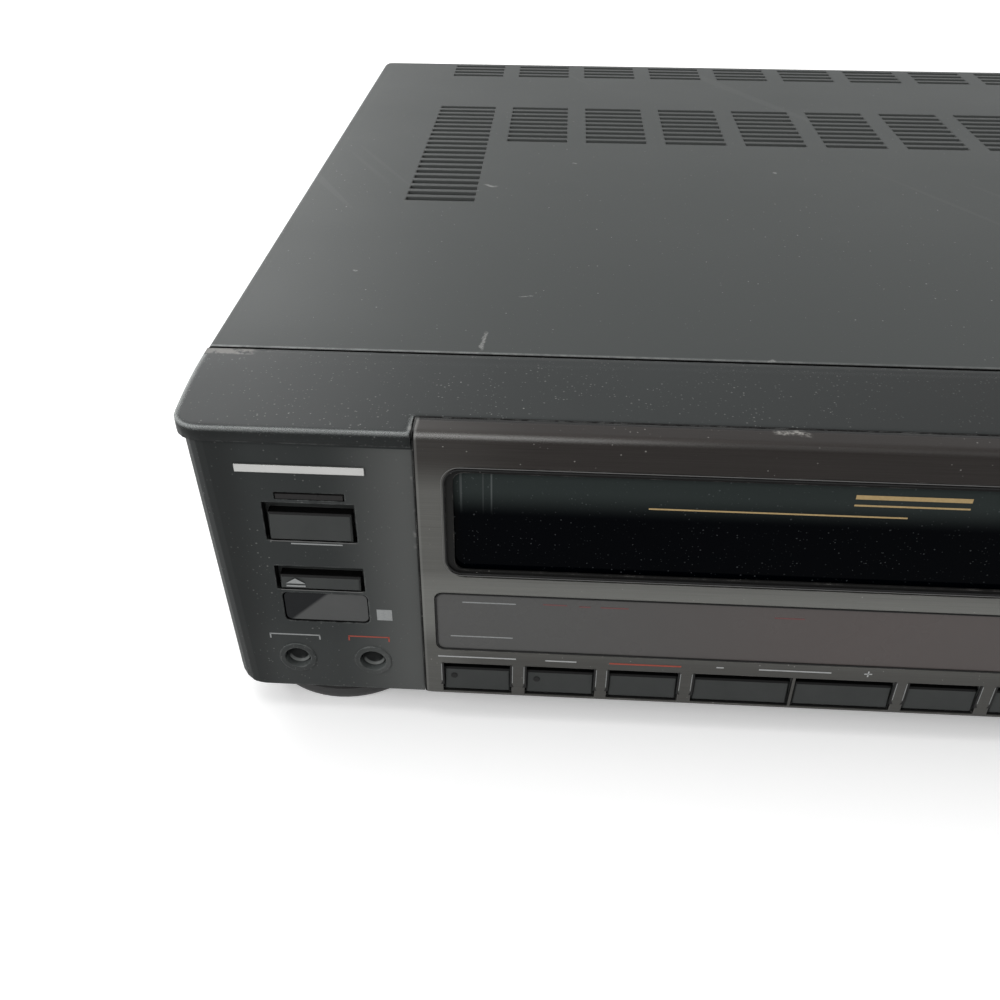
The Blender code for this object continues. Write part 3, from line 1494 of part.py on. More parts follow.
def make_mains_transformer(iron):
    """A laminated core with its winding through it, standing on the power board."""
    bottom = PAN_TOP - BOARD_LIFT - BOARD - SEAT_GAP
    left = TRANSFORMER_LEFT
    front = TRANSFORMER_FRONT
    middle_back = front + TRANSFORMER_SIZE / 2
    core = box(
        "mains_transformer",
        (left, left + TRANSFORMER_SIZE),
        (middle_back - TRANSFORMER_STACK / 2, middle_back + TRANSFORMER_STACK / 2),
        (bottom - TRANSFORMER_SIZE * CORE_HEIGHT_SHARE, bottom),
        iron,
    )
    spare = (TRANSFORMER_SIZE - TRANSFORMER_COIL) / 2
    height = TRANSFORMER_SIZE * CORE_HEIGHT_SHARE
    coil = box(
        "transformer_coil",
        (left + spare, left + TRANSFORMER_SIZE - spare),
        (
            middle_back - TRANSFORMER_COIL_LENGTH / 2,
            middle_back + TRANSFORMER_COIL_LENGTH / 2,
        ),
        (bottom - height + spare, bottom - spare),
    )
    round_edges(coil, lambda centre, way: abs(way.x) > 0.9, spare, 3)
    join(core, coil)
    return core


def deck_span():
    return (DECK_DROP, DECK_UNDER)


def deck_top(gap):
    """A depth this far above the deck plate."""
    return DECK_DROP - gap


def across_deck(offset):
    return DECK_CENTRE + offset


def make_mechanism_chassis(steel):
    """The deck plate on its legs, with the pins, posts and slots of the tape path."""
    across = (across_deck(-DECK_HALF_WIDTH), across_deck(DECK_HALF_WIDTH))
    deck = box("mechanism_chassis", across, (DECK_FRONT, DECK_BACK), deck_span(), steel)
    low = PAN_TOP - SEAT_GAP
    inside = middle(deck_span())
    for side in (-1, 1):
        for back in (DECK_FRONT + DECK_LEG_INSET, DECK_BACK - DECK_LEG_INSET):
            place_across = across_deck(side * (DECK_HALF_WIDTH - DECK_LEG_INSET))
            join(deck, post("deck_leg", place_across, back, inside, low, DECK_LEG_RADIUS))
        reel = across_deck(side * REEL_SPREAD)
        top = REEL_HUB_TOP + REEL_PIN_RADIUS
        join(deck, post("reel_pin", reel, REEL_PLACE, top, inside, REEL_PIN_RADIUS))
        slot = across_deck(side * GUIDE_OFFSET)
        reach = GUIDE_BLOCK / 2 + RUNNING_GAP
        guide_slot = box(
            "guide_slot",
            grown((slot, slot), GUIDE_SLOT / 2),
            (GUIDE_PLACE - reach, GUIDE_PLACE + GUIDE_TRAVEL + reach),
            grown(deck_span(), OVERRUN),
        )
        cut(deck, guide_slot)
    pivot = across_deck(PINCH_PIVOT_OFFSET)
    boss_top = PINCH_ARM_DROP + PINCH_ARM_THICKNESS + SEAT_GAP
    boss = post("pinch_boss", pivot, PINCH_PIVOT_PLACE, boss_top, inside, PINCH_ARM_WIDTH / 2)
    pin_top = PINCH_ARM_DROP - SEAT_GAP
    pin = post("pinch_pin", pivot, PINCH_PIVOT_PLACE, pin_top, inside, GEAR_PIN_RADIUS)
    gear = across_deck(-GEAR_OFFSET)
    gear_top = deck_top(GEAR_LIFT + GEAR_THICKNESS)
    gear_pin = post("gear_pin", gear, GEAR_PLACE, gear_top, inside, GEAR_PIN_RADIUS)
    base_top = DECK_DROP - DRUM_LIFT
    drum_base = post(
        "drum_base", DECK_CENTRE, DRUM_PLACE, base_top, inside, DRUM_BASE_RADIUS, sides=ROUND_SIDES
    )
    join(deck, boss, pin, gear_pin, drum_base)
    shaft = across_deck(CAPSTAN_OFFSET)
    hole = CAPSTAN_RADIUS + RUNNING_GAP
    cut(deck, post("capstan_hole", shaft, CAPSTAN_PLACE, 0, HEIGHT, hole))
    motor = pinion_place()
    cut(deck, post("motor_hole", motor[0], motor[1], 0, HEIGHT, 2 * GEAR_PIN_RADIUS))
    return deck


def pinion_place():
    """The pinion stands behind the loading gear, at the distance where their teeth mesh."""
    spread = (GEAR_TEETH + PINION_TEETH) * TOOTH_MODULE / 2
    return across_deck(-GEAR_OFFSET), GEAR_PLACE - spread


def gear_outline(teeth, phase):
    """Straight-sided teeth, a little thin so that two gears run with backlash."""
    pitch_radius = teeth * TOOTH_MODULE / 2
    tip = pitch_radius + TOOTH_MODULE * TOOTH_TIP_SHARE
    root = pitch_radius - TOOTH_MODULE * TOOTH_ROOT_SHARE
    pitch = 2 * math.pi / teeth
    outline = []
    for tooth in range(teeth):
        for share, radius in zip(TOOTH_FLANK_SHARES, (root, tip, tip, root)):
            angle = phase + (tooth + share) * pitch
            outline.append((radius * math.cos(angle), radius * math.sin(angle)))
    return outline


def make_gear(name, teeth, phase, centre, bore, plastic):
    thickness = GEAR_THICKNESS
    gear = plate(name, gear_outline(teeth, phase), "top", thickness, centre, plastic)
    cut(gear, rod(name + "_bore", "Z", bore, centre.copy(), 3 * thickness))
    return gear


def make_loading_gears(plastic, metal):
    """The gear that works the tape guides, its pinion, and the motor below the deck."""
    middle_down = deck_top(GEAR_LIFT / 2 + GEAR_THICKNESS / 2)
    bore = GEAR_PIN_RADIUS + RUNNING_GAP
    quarter = math.pi / 2
    centre = at(across_deck(-GEAR_OFFSET), GEAR_PLACE, middle_down)
    make_gear("loading_gear", GEAR_TEETH, -quarter, centre, bore, plastic)
    across, back = pinion_place()
    phase = quarter + math.pi / PINION_TEETH
    make_gear("loading_pinion", PINION_TEETH, phase, at(across, back, middle_down), bore, plastic)
    top = DECK_UNDER + SEAT_GAP
    motor = post(
        "loading_motor", across, back, top, top + MOTOR_HEIGHT, MOTOR_RADIUS, metal, ROUND_SIDES
    )
    shaft_top = deck_top(GEAR_LIFT + GEAR_THICKNESS)
    join(motor, post("motor_shaft", across, back, shaft_top, top + OVERRUN, GEAR_PIN_RADIUS))
    return motor


def make_side_brackets(steel):
    """The fixed plates beside the carriage, each with two level slots for its pins."""
    for name, side in (("side_bracket_left", -1), ("side_bracket_right", 1)):
        near = across_deck(side * BRACKET_INNER)
        across = tuple(sorted((near, near + side * BRACKET_SHEET)))
        back = (DECK_FRONT, BRACKET_BACK)
        down = (BRACKET_TOP, deck_top(SEAT_GAP))
        bracket = box(name, across, back, down, steel)
        for pin_back in carriage_pin_places():
            reach = GUIDE_PIN_RADIUS + RUNNING_GAP
            slot = box(
                name + "_slot",
                grown(across, OVERRUN),
                (pin_back - reach, pin_back + CARRIAGE_TRAVEL + reach),
                grown((CARRIAGE_PIN_DROP, CARRIAGE_PIN_DROP), reach),
            )
            cut(bracket, slot)


def holder_pin_places():
    """Distances back of the holder's guide pins, and their depth."""
    near = HOLDER_FRONT + GUIDE_PIN_INSET
    far = HOLDER_FRONT + HOLDER_DEPTH - GUIDE_PIN_INSET
    return (near, far), middle((HOLDER_TOP, HOLDER_BOTTOM))


def carriage_pin_places():
    near = HOLDER_FRONT + GUIDE_PIN_INSET / 2
    return near, near + HOLDER_DEPTH / 2 + GUIDE_PIN_RADIUS * 4


def make_cassette_carriage(steel):
    """The sliding frame: two side plates under a bridge, with upright slots for the holder."""
    back = (HOLDER_FRONT, HOLDER_FRONT + HOLDER_DEPTH)
    down = (CARRIAGE_TOP, CARRIAGE_BOTTOM)
    bridge_back = (back[1] - GUIDE_PIN_INSET, back[1])
    bridge_down = (CARRIAGE_TOP, CARRIAGE_TOP + CARRIAGE_SHEET)
    across = (across_deck(-CARRIAGE_OUTER), across_deck(CARRIAGE_OUTER))
    carriage = box("cassette_carriage", across, bridge_back, bridge_down, steel)
    pin_backs, pin_down = holder_pin_places()
    reach = GUIDE_PIN_RADIUS + RUNNING_GAP
    for side in (-1, 1):
        inner = across_deck(side * CARRIAGE_INNER)
        outer = across_deck(side * CARRIAGE_OUTER)
        across = tuple(sorted((inner, outer)))
        join(carriage, box("carriage_side", across, back, down))
        for pin_back in pin_backs:
            slot = box(
                "holder_slot",
                grown(across, OVERRUN),
                grown((pin_back, pin_back), reach),
                (pin_down - reach, pin_down + HOLDER_TRAVEL + reach),
            )
            cut(carriage, slot)
        start = outer - side * CARRIAGE_SHEET / 2
        end = across_deck(side * (BRACKET_INNER + BRACKET_SHEET))
        for pin_back in carriage_pin_places():
            centre = at(middle((start, end)), pin_back, CARRIAGE_PIN_DROP)
            pin = rod("carriage_pin", "X", GUIDE_PIN_RADIUS, centre, abs(end - start))
            join(carriage, pin)
    set_origin(carriage, at(DECK_CENTRE, HOLDER_FRONT, CARRIAGE_PIN_DROP))
    return carriage


def holder_profile():
    """The holder from its front: a top, two sides, and a ledge turned in along each side."""
    height = HOLDER_BOTTOM - HOLDER_TOP
    half = [
        (HOLDER_HALF, 0),
        (HOLDER_HALF, -height),
        (HOLDER_HALF - HOLDER_LEDGE, -height),
        (HOLDER_HALF - HOLDER_LEDGE, HOLDER_SHEET - height),
        (HOLDER_HALF - HOLDER_SHEET, HOLDER_SHEET - height),
        (HOLDER_HALF - HOLDER_SHEET, -HOLDER_SHEET),
    ]
    return half + [(-across, up) for across, up in reversed(half)]


def make_cassette_holder(steel):
    """The tray that takes the cassette, folded from one sheet, with a pin at each corner."""
    back = (HOLDER_FRONT, HOLDER_FRONT + HOLDER_DEPTH)
    top = (HOLDER_TOP, HOLDER_TOP + HOLDER_SHEET)
    centre = at(DECK_CENTRE, middle(back), HOLDER_TOP)
    holder = plate("cassette_holder", holder_profile(), "front", HOLDER_DEPTH, centre, steel)
    pin_backs, pin_down = holder_pin_places()
    for side in (-1, 1):
        start = across_deck(side * (HOLDER_HALF - HOLDER_SHEET / 2))
        end = across_deck(side * CARRIAGE_OUTER)
        for pin_back in pin_backs:
            centre = at(middle((start, end)), pin_back, pin_down)
            join(holder, rod("holder_pin", "X", GUIDE_PIN_RADIUS, centre, abs(end - start)))
    lightening = box(
        "holder_window",
        grown((DECK_CENTRE, DECK_CENTRE), HOLDER_HALF / 2),
        grown(back, -GUIDE_PIN_INSET),
        grown(top, OVERRUN),
    )
    cut(holder, lightening)
    set_origin(holder, at(DECK_CENTRE, HOLDER_FRONT, pin_down))
    return holder


def make_reels(plastic):
    """The two reel tables, each a turned base and hub on its deck pin, with three keys."""
    for name, side in (("supply_reel", -1), ("takeup_reel", 1)):
        across = across_deck(side * REEL_SPREAD)
        top = DECK_DROP - REEL_HUB_TOP
        bottom = SEAT_GAP
        step = bottom + REEL_BASE_HEIGHT
        bore = REEL_PIN_RADIUS + RUNNING_GAP
        profile = [
            (bore, top),
            (REEL_HUB_RADIUS - REEL_KEY, top),
            (REEL_HUB_RADIUS, top - REEL_KEY),
            (REEL_HUB_RADIUS, step),
            (REEL_BASE_RADIUS, step),
            (REEL_BASE_RADIUS, bottom),
            (bore, bottom),
        ]
        reel = turned(name, profile, "Z", at(across, REEL_PLACE, DECK_DROP), plastic)
        for key in range(3):
            angle = key * 2 * math.pi / 3
            radius = REEL_HUB_RADIUS
            ridge_across = across + radius * math.cos(angle)
            ridge_back = REEL_PLACE + radius * math.sin(angle)
            ridge = box(
                "reel_key",
                grown((ridge_across, ridge_across), REEL_KEY),
                grown((ridge_back, ridge_back), REEL_KEY / 2),
                (REEL_HUB_TOP + 2 * REEL_KEY, DECK_DROP - step + REEL_KEY / 2),
            )
            join(reel, ridge)


def drum_axis():
    """The drum's lowest centre point, its tilt, and the unit vector along its spindle."""
    tilt = math.radians(DRUM_TILT_DEGREES)
    lift = DRUM_LIFT + DRUM_BASE_RADIUS * math.sin(tilt) + SEAT_GAP
    base = at(DECK_CENTRE, DRUM_PLACE, DECK_DROP - lift)
    return base, tilt, Vector((0, -math.sin(tilt), math.cos(tilt)))


def make_drums(metal):
    """The tilted head drum: a fixed lower half with its spindle and a spinning upper half."""
    base, tilt, up = drum_axis()
    spindle = LOWER_DRUM_HEIGHT + DRUM_GAP + UPPER_DRUM_HEIGHT - DRUM_GAP
    lower_profile = [
        (0, spindle),
        (DRUM_SHAFT_RADIUS, spindle),
        (DRUM_SHAFT_RADIUS, LOWER_DRUM_HEIGHT),
        (DRUM_RADIUS, LOWER_DRUM_HEIGHT),
        (DRUM_RADIUS, 0),
        (0, 0),
    ]
    lower = turned("lower_drum", lower_profile, "Z", base, metal, DRUM_SIDES)
    lower.rotation_euler = (tilt, 0, 0)
    bore = DRUM_SHAFT_RADIUS + RUNNING_GAP
    rim = DRUM_RADIUS - REEL_KEY
    upper_profile = [
        (bore, UPPER_DRUM_HEIGHT),
        (rim, UPPER_DRUM_HEIGHT),
        (DRUM_RADIUS, UPPER_DRUM_HEIGHT - REEL_KEY),
        (DRUM_RADIUS, 0),
        (bore, 0),
    ]
    start = base + up * (LOWER_DRUM_HEIGHT + DRUM_GAP)
    upper = turned("upper_drum", upper_profile, "Z", start, metal, DRUM_SIDES)
    upper.rotation_euler = (tilt, 0, 0)


def make_capstan(metal):
    """The capstan's shaft with its flywheel below the deck."""
    bottom = FLYWHEEL_DROP + FLYWHEEL_THICKNESS
    profile = [
        (0, bottom - CAPSTAN_TOP),
        (CAPSTAN_RADIUS, bottom - CAPSTAN_TOP),
        (CAPSTAN_RADIUS, FLYWHEEL_THICKNESS),
        (FLYWHEEL_RADIUS, FLYWHEEL_THICKNESS),
        (FLYWHEEL_RADIUS, 0),
        (0, 0),
    ]
    place_across = across_deck(CAPSTAN_OFFSET)
    return turned("capstan", profile, "Z", at(place_across, CAPSTAN_PLACE, bottom), metal)


def pinch_places():
    """The pinch arm's pivot, and its roller's centre at rest, swung clear of the capstan."""
    pivot = Vector((across_deck(PINCH_PIVOT_OFFSET), PINCH_PIVOT_PLACE))
    nip = CAPSTAN_RADIUS + PINCH_ROLLER_RADIUS + PINCH_NIP_GAP
    closed = Vector((across_deck(CAPSTAN_OFFSET) + nip, CAPSTAN_PLACE))
    arm = closed - pivot
    angle = math.radians(PINCH_OPEN_DEGREES)
    opened = Vector(
        (
            arm.x * math.cos(angle) - arm.y * math.sin(angle),
            arm.x * math.sin(angle) + arm.y * math.cos(angle),
        )
    )
    return pivot, pivot + opened


def make_pinch_arm(steel):
    """A flat arm with round ends, bored for its pivot, with a pin for the roller."""
    pivot, roller = pinch_places()
    along = roller - pivot
    radius = PINCH_ARM_WIDTH / 2
    heading = math.atan2(along.y, along.x)
    outline = []
    for end, turn in ((roller - pivot, heading), (Vector((0, 0)), heading + math.pi)):
        for step in range(7):
            angle = turn - math.pi / 2 + step / 6 * math.pi
            outline.append((end.x + radius * math.cos(angle), end.y + radius * math.sin(angle)))
    middle_down = PINCH_ARM_DROP + PINCH_ARM_THICKNESS / 2
    centre = at(pivot.x, pivot.y, middle_down)
    arm = plate("pinch_arm", outline, "top", PINCH_ARM_THICKNESS, centre, steel)
    hole = GEAR_PIN_RADIUS + RUNNING_GAP
    cut(arm, rod("pinch_bore", "Z", hole, centre.copy(), 4 * PINCH_ARM_THICKNESS))
    top = PINCH_ARM_DROP - SEAT_GAP - PINCH_ROLLER_HEIGHT - SEAT_GAP
    join(arm, post("roller_pin", roller.x, roller.y, top, middle_down, GEAR_PIN_RADIUS))


def make_pinch_roller(rubber):
    roller = pinch_places()[1]
    bore = GEAR_PIN_RADIUS + RUNNING_GAP
    profile = [
        (bore, PINCH_ROLLER_HEIGHT),
        (PINCH_ROLLER_RADIUS, PINCH_ROLLER_HEIGHT),
        (PINCH_ROLLER_RADIUS, 0),
        (bore, 0),
    ]
    bottom = PINCH_ARM_DROP - SEAT_GAP
    turned("pinch_roller", profile, "Z", at(roller.x, roller.y, bottom), rubber)


def make_tape_guides(metal):
    """The sliding guides: a block on the deck, a keel in its slot and an upright post."""
    for name, side in (("supply_guide", -1), ("takeup_guide", 1)):
        across = across_deck(side * GUIDE_OFFSET)
        half = GUIDE_BLOCK / 2
        bottom = deck_top(SEAT_GAP)
        guide = box(
            name,
            (across - half, across + half),
            (GUIDE_PLACE - half, GUIDE_PLACE + half),
            (bottom - GUIDE_BLOCK_HEIGHT, bottom),
            metal,
        )
        keel_half = GUIDE_SLOT / 2 - RUNNING_GAP
        keel = box(
            name + "_keel",
            grown((across, across), keel_half),
            (GUIDE_PLACE - half, GUIDE_PLACE + half),
            (bottom - GUIDE_BLOCK_HEIGHT / 2, DECK_UNDER),
        )
        upright = post(
            name + "_post",
            across,
            GUIDE_PLACE,
            GUIDE_POST_TOP,
            bottom - GUIDE_BLOCK_HEIGHT / 2,
            GUIDE_POST_RADIUS,
        )
        join(guide, keel, upright)


def build():
    clear_scene()
    black_steel = material("black_painted_steel", (0.075, 0.08, 0.079), 0.42)
    zinc_steel = material("zinc_plated_steel", (0.55, 0.56, 0.55), 0.35, 0.9)
    screw_metal = material("blackened_screw", (0.06, 0.06, 0.06), 0.4, 0.8)
    moulding = material("black_moulding", (0.032, 0.035, 0.035), 0.38)
    brushed = material("brushed_dark_metal", (0.11, 0.105, 0.1), 0.34, 0.7)
    smoked = material("smoked_glass", (0.004, 0.006, 0.008), 0.06)
    lens = material("grey_lens", (0.09, 0.088, 0.085), 0.2)
    sensor = material("sensor_window", (0.06, 0.06, 0.065), 0.15)
    lamp = material("indicator_lamp", (0.05, 0.04, 0.04), 0.25)
    key_plastic = material("key_plastic", (0.03, 0.032, 0.032), 0.4)
    foot_plastic = material("foot_plastic", (0.02, 0.02, 0.02), 0.55)
    laminate = material("board_laminate", (0.16, 0.10, 0.04), 0.5)
    tube_glass = material("tube_glass", (0.05, 0.06, 0.06), 0.1)
    iron = material("core_iron", (0.12, 0.11, 0.10), 0.5, 0.6)
    drum_metal = material("drum_aluminium", (0.75, 0.76, 0.77), 0.22, 1.0)
    shaft_metal = material("ground_steel", (0.62, 0.62, 0.62), 0.18, 1.0)
    nylon = material("white_nylon", (0.72, 0.72, 0.69), 0.45)
    rubber = material("black_rubber", (0.018, 0.018, 0.018), 0.7)
    connector = material("connector_plastic", (0.04, 0.04, 0.04), 0.4)

    make_chassis_base(zinc_steel)
    make_top_cover(black_steel)
    make_cover_screws(screw_metal)
    make_rear_panel(zinc_steel)
    make_feet(foot_plastic)
    make_front_panel(moulding)
    make_fascia_panel(brushed)
    make_cassette_door(smoked)
    make_display_lens(lens)
    make_remote_window(sensor)
    make_power_indicator(lamp)
    make_keys(key_plastic)
    make_round_keys(key_plastic)
    make_front_board(laminate)
    make_display_tube(tube_glass)
    make_av_jack_block(connector)
    make_tuner_box(zinc_steel)
    make_mains_inlet(connector)
    make_boards(laminate)
    make_mains_transformer(iron)
    make_mechanism_chassis(zinc_steel)
    make_side_brackets(zinc_steel)
    make_cassette_carriage(zinc_steel)
    make_cassette_holder(zinc_steel)
    make_reels(nylon)
    make_drums(drum_metal)
    make_capstan(shaft_metal)
    make_pinch_arm(zinc_steel)
    make_pinch_roller(rubber)
    make_tape_guides(nylon)
    make_loading_gears(nylon, shaft_metal)


build()
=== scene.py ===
# %% [markdown]
# # Eight-millimetre video cassette recorder
# The solids of the recorder come from its CAD model, with every piece on the body that carries it.
# This script dresses them: it gives each one its finish, and adds the small pieces that a maker
# prints, presses or screws on. Lengths are in metres, and places are in the CAD model's own frame.

# %% Load the frame
import math

import bmesh
import bpy
from mathutils import Matrix, Vector


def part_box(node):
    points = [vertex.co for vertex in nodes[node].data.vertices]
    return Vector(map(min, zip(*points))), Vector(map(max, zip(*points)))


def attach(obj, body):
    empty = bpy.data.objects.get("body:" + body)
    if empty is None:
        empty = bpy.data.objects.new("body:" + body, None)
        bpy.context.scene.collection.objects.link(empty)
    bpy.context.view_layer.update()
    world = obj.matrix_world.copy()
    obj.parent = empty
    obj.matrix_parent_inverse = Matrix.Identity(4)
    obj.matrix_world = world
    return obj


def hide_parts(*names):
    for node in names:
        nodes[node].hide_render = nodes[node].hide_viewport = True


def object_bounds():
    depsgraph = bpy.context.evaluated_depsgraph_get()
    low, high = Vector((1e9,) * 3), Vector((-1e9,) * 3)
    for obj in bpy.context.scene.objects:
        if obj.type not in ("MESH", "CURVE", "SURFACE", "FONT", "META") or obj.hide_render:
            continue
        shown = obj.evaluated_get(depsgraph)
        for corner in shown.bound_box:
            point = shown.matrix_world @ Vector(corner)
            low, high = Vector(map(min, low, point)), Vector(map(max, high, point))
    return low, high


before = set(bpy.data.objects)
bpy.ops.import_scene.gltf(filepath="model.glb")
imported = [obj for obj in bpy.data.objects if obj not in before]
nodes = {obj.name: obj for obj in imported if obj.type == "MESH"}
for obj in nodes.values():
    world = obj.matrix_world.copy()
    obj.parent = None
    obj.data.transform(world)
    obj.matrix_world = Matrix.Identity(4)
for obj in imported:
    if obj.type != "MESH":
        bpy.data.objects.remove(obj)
cad_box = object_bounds()
MM = 0.001


def put(name, data):
    """A new object in the scene."""
    made = bpy.data.objects.new(name, data)
    bpy.context.scene.collection.objects.link(made)
    return made


# %% [markdown]
# ## The camera
# The photograph is a near view from above, in front of the left end. A camera was fitted to the
# straight edges of the case, which gave its place, its three angles and its focal length. These
# numbers are set on a plain camera with no shift and no depth of field.

# %% Set the camera
camera_data = bpy.data.cameras.new("photo_camera")
camera_data.lens = 37.135
camera_data.clip_start = 0.01
camera = bpy.context.scene.camera = put("photo_camera", camera_data)

pitch, yaw, roll = (math.radians(angle) for angle in (35.58, 3.34, -0.14))
turn = Matrix.Rotation(yaw, 3, "Z")
forward = turn @ Vector((0, math.cos(pitch), -math.sin(pitch)))
level = turn @ Vector((1, 0, 0))
steep = forward.cross(level)
right = level * math.cos(roll) + steep * math.sin(roll)
down = steep * math.cos(roll) - level * math.sin(roll)
camera_place = (-0.10077, -0.32204, 0.18453)
facing = Matrix((right, -down, -forward)).transposed().to_4x4()
camera.matrix_world = Matrix.Translation(camera_place) @ facing
print("camera at", [round(value, 3) for value in camera.matrix_world.translation])

# %% [markdown]
# ## A way to write node trees
# A node tree can be drawn by hand or written. Written trees are easy to reread, if sums look like
# sums. So one small class wraps a socket: an operator between two of them adds a Math node.
# Only the operators that the finishes need are there, with their reflected forms, so that a number
# can stand on either side.


# %% Sums of sockets
class Term:
    """A socket that takes part in sums."""

    def __init__(self, graph, socket):
        self.graph = graph
        self.socket = socket

    def other(self, name):
        """Another output of the same node."""
        return Term(self.graph, self.socket.node.outputs[name])

    def maths(self, operation, *values):
        return self.graph.add("ShaderNodeMath", {"operation": operation}, dict(enumerate(values)))

    def __add__(self, value):
        return self.maths("ADD", self, value)

    def __sub__(self, value):
        return self.maths("SUBTRACT", self, value)

    def __rsub__(self, value):
        return self.maths("SUBTRACT", value, self)

    def __mul__(self, value):
        return self.maths("MULTIPLY", self, value)

    def __pow__(self, value):
        return self.maths("POWER", self, value)

    def __gt__(self, value):
        return self.maths("GREATER_THAN", self, value)

    def __lt__(self, value):
        return self.maths("LESS_THAN", self, value)

    __radd__ = __add__
    __rmul__ = __mul__

    def size(self):
        return self.maths("ABSOLUTE", self)

    def larger(self, value):
        return self.maths("MAXIMUM", self, value)

    def step(self, start, end):
        """0 up to start, 1 from end, and a smooth rise between them."""
        return self.graph.add(
            "ShaderNodeMapRange",
            {"interpolation_type": "SMOOTHSTEP"},
            {"Value": self, "From Min": start, "From Max": end},
        )


# %% [markdown]
# A second class owns the tree. One method of it adds any node. The others are shorthands for what
# many finishes share: a noise, a blend of two colours, rounded edges, dust, a worn stroke. Each one
# gives back a term, so it goes straight into a sum.


# %% A tree, and one method for its nodes
class Graph:
    """A node tree, with the shorthands that the finishes share."""

    def __init__(self, tree):
        self.tree = tree

    def add(self, kind, settings=None, inputs=None, output=0):
        """Adds a node: settings first, then a value or a link for each socket."""
        node = self.tree.nodes.new(kind)
        for key, value in (settings or {}).items():
            setattr(node, key, value)
        for key, value in (inputs or {}).items():
            if isinstance(value, Term):
                self.tree.links.new(value.socket, node.inputs[key])
            else:
                node.inputs[key].default_value = value
        return Term(self, node.outputs[output]) if len(node.outputs) else None

    def place(self, stretch=(1, 1, 1), centre=(0, 0, 0), angles=(0, 0, 0)):
        """Object coordinates in metres, moved to a centre, turned, and squeezed along the axes."""
        whole = self.add("ShaderNodeTexCoord", output="Object")
        settings = {"vector_type": "TEXTURE"}
        inputs = {0: whole, 1: centre, 2: angles, 3: stretch}
        return self.add("ShaderNodeMapping", settings, inputs)

    def noise(self, size, detail=2, rough=0.5, stretch=(1, 1, 1), angles=(0, 0, 0)):
        inputs = {"Vector": self.place(stretch, angles=angles), "Scale": 1 / size}
        inputs.update(Detail=detail, Roughness=rough)
        return self.add("ShaderNodeTexNoise", None, inputs)

    def cells(self, size, stretch=(1, 1, 1)):
        inputs = {"Vector": self.place(stretch), "Scale": 1 / size}
        return self.add("ShaderNodeTexVoronoi", None, inputs)

    def blend(self, factor, first, second):
        """A colour between two others."""
        first, second = (c if isinstance(c, Term) else (*c, 1) for c in (first, second))
        inputs = {0: factor, 6: first, 7: second}
        return self.add("ShaderNodeMix", {"data_type": "RGBA", "clamp_factor": True}, inputs, 2)

    def between(self, factor, first, second):
        """A vector between two others."""
        inputs = {0: factor, 4: first, 5: second}
        return self.add("ShaderNodeMix", {"data_type": "VECTOR"}, inputs, 1)

    def rounded(self, radius):
        """The normal with the edges rounded, as light finds them on a moulded piece."""
        return self.add("ShaderNodeBevel", {"samples": 6}, {"Radius": radius})

    def bump(self, height, distance, strength=1.0, normal=None):
        inputs = {"Height": height, "Distance": distance, "Strength": strength}
        if normal:
            inputs["Normal"] = normal
        return self.add("ShaderNodeBump", None, inputs)

    def edges(self, radius, least=0.02, most=0.2):
        """1 on edges, 0 on flat ground: it looks where the rounded normal leaves the plain one."""
        plain = self.add("ShaderNodeNewGeometry", output="Normal")
        inputs = {0: self.rounded(radius), 1: plain}
        alike = self.add("ShaderNodeVectorMath", {"operation": "DOT_PRODUCT"}, inputs, 1)
        return (1 - alike).step(least, most)

    def parts(self, vector):
        """The three parts of a vector."""
        first = self.add("ShaderNodeSeparateXYZ", None, {0: vector})
        return first, first.other("Y"), first.other("Z")

    def where(self):
        """The place on the piece, as x, y and z in metres."""
        return self.parts(self.place())

    def facing(self):
        """How far a flat faces back and how far it faces up."""
        return self.parts(self.add("ShaderNodeNewGeometry", output="Normal"))[1:]

    def dust(self, size, share, patch):
        """Specks that gather in patches: share is how much of a cell a speck fills."""
        cell = self.cells(size)
        chance = self.add("ShaderNodeSeparateColor", None, {0: cell.other("Color")})
        speck = (cell < chance * share) * (chance.other("Green") > 0.25)
        return speck * self.noise(patch, 3, 0.6).step(0.36, 0.58)

    def stroke(self, start, end, width, ragged=0.4):
        """1 along a worn line on top of the case, from one place to another, in x and y."""
        run = math.dist(start, end)
        angle = math.atan2(end[1] - start[1], end[0] - start[0])
        along, beside, _ = self.parts(self.place((run, width, 1), (*start, 0), (0, 0, angle)))
        torn = self.noise(width * 0.6, 4, 0.75) * ragged + (1 - ragged)
        sway = (self.noise(width * 3.5, 2) - 0.5) * 3.4 + beside
        ends = along.step(-0.02, 0.15) * (1 - along.step(0.75, 1.0))
        return ends * (1 - sway.size().step(0.3, 1.0)) * torn.step(0.66, 0.82)


# %% [markdown]
# ## How a finish is put together
# Every finish is a Principled shader. What is the same all over is set on its sockets, and what
# changes over the surface is linked. The last helper gives a finish to any number of CAD nodes and
# remembers them, so that it shows at the end whether a node is left in its CAD colour.

# %% Finishes and who wears them
dressed = set()


def grey(level):
    return level, level, level


def finish(name, **fixed):
    """A new material, its graph and its Principled node with the fixed values set."""
    made = bpy.data.materials.new(name)
    made.use_nodes = True
    shader = made.node_tree.nodes["Principled BSDF"]
    for key, value in fixed.items():
        shader.inputs[key.replace("_", " ").title().replace("Ior", "IOR")].default_value = value
    return made, Graph(made.node_tree), shader


def drive(shader, graph, **links):
    """Links what varies: colour, roughness, normal and the like."""
    for key, term in links.items():
        graph.tree.links.new(term.socket, shader.inputs[key.replace("_", " ").title()])


def wear(material, *names):
    for name in names:
        mesh = nodes[name].data
        mesh.materials.clear()
        mesh.materials.append(material)
        dressed.add(name)
    print(material.name, "on", ", ".join(names))


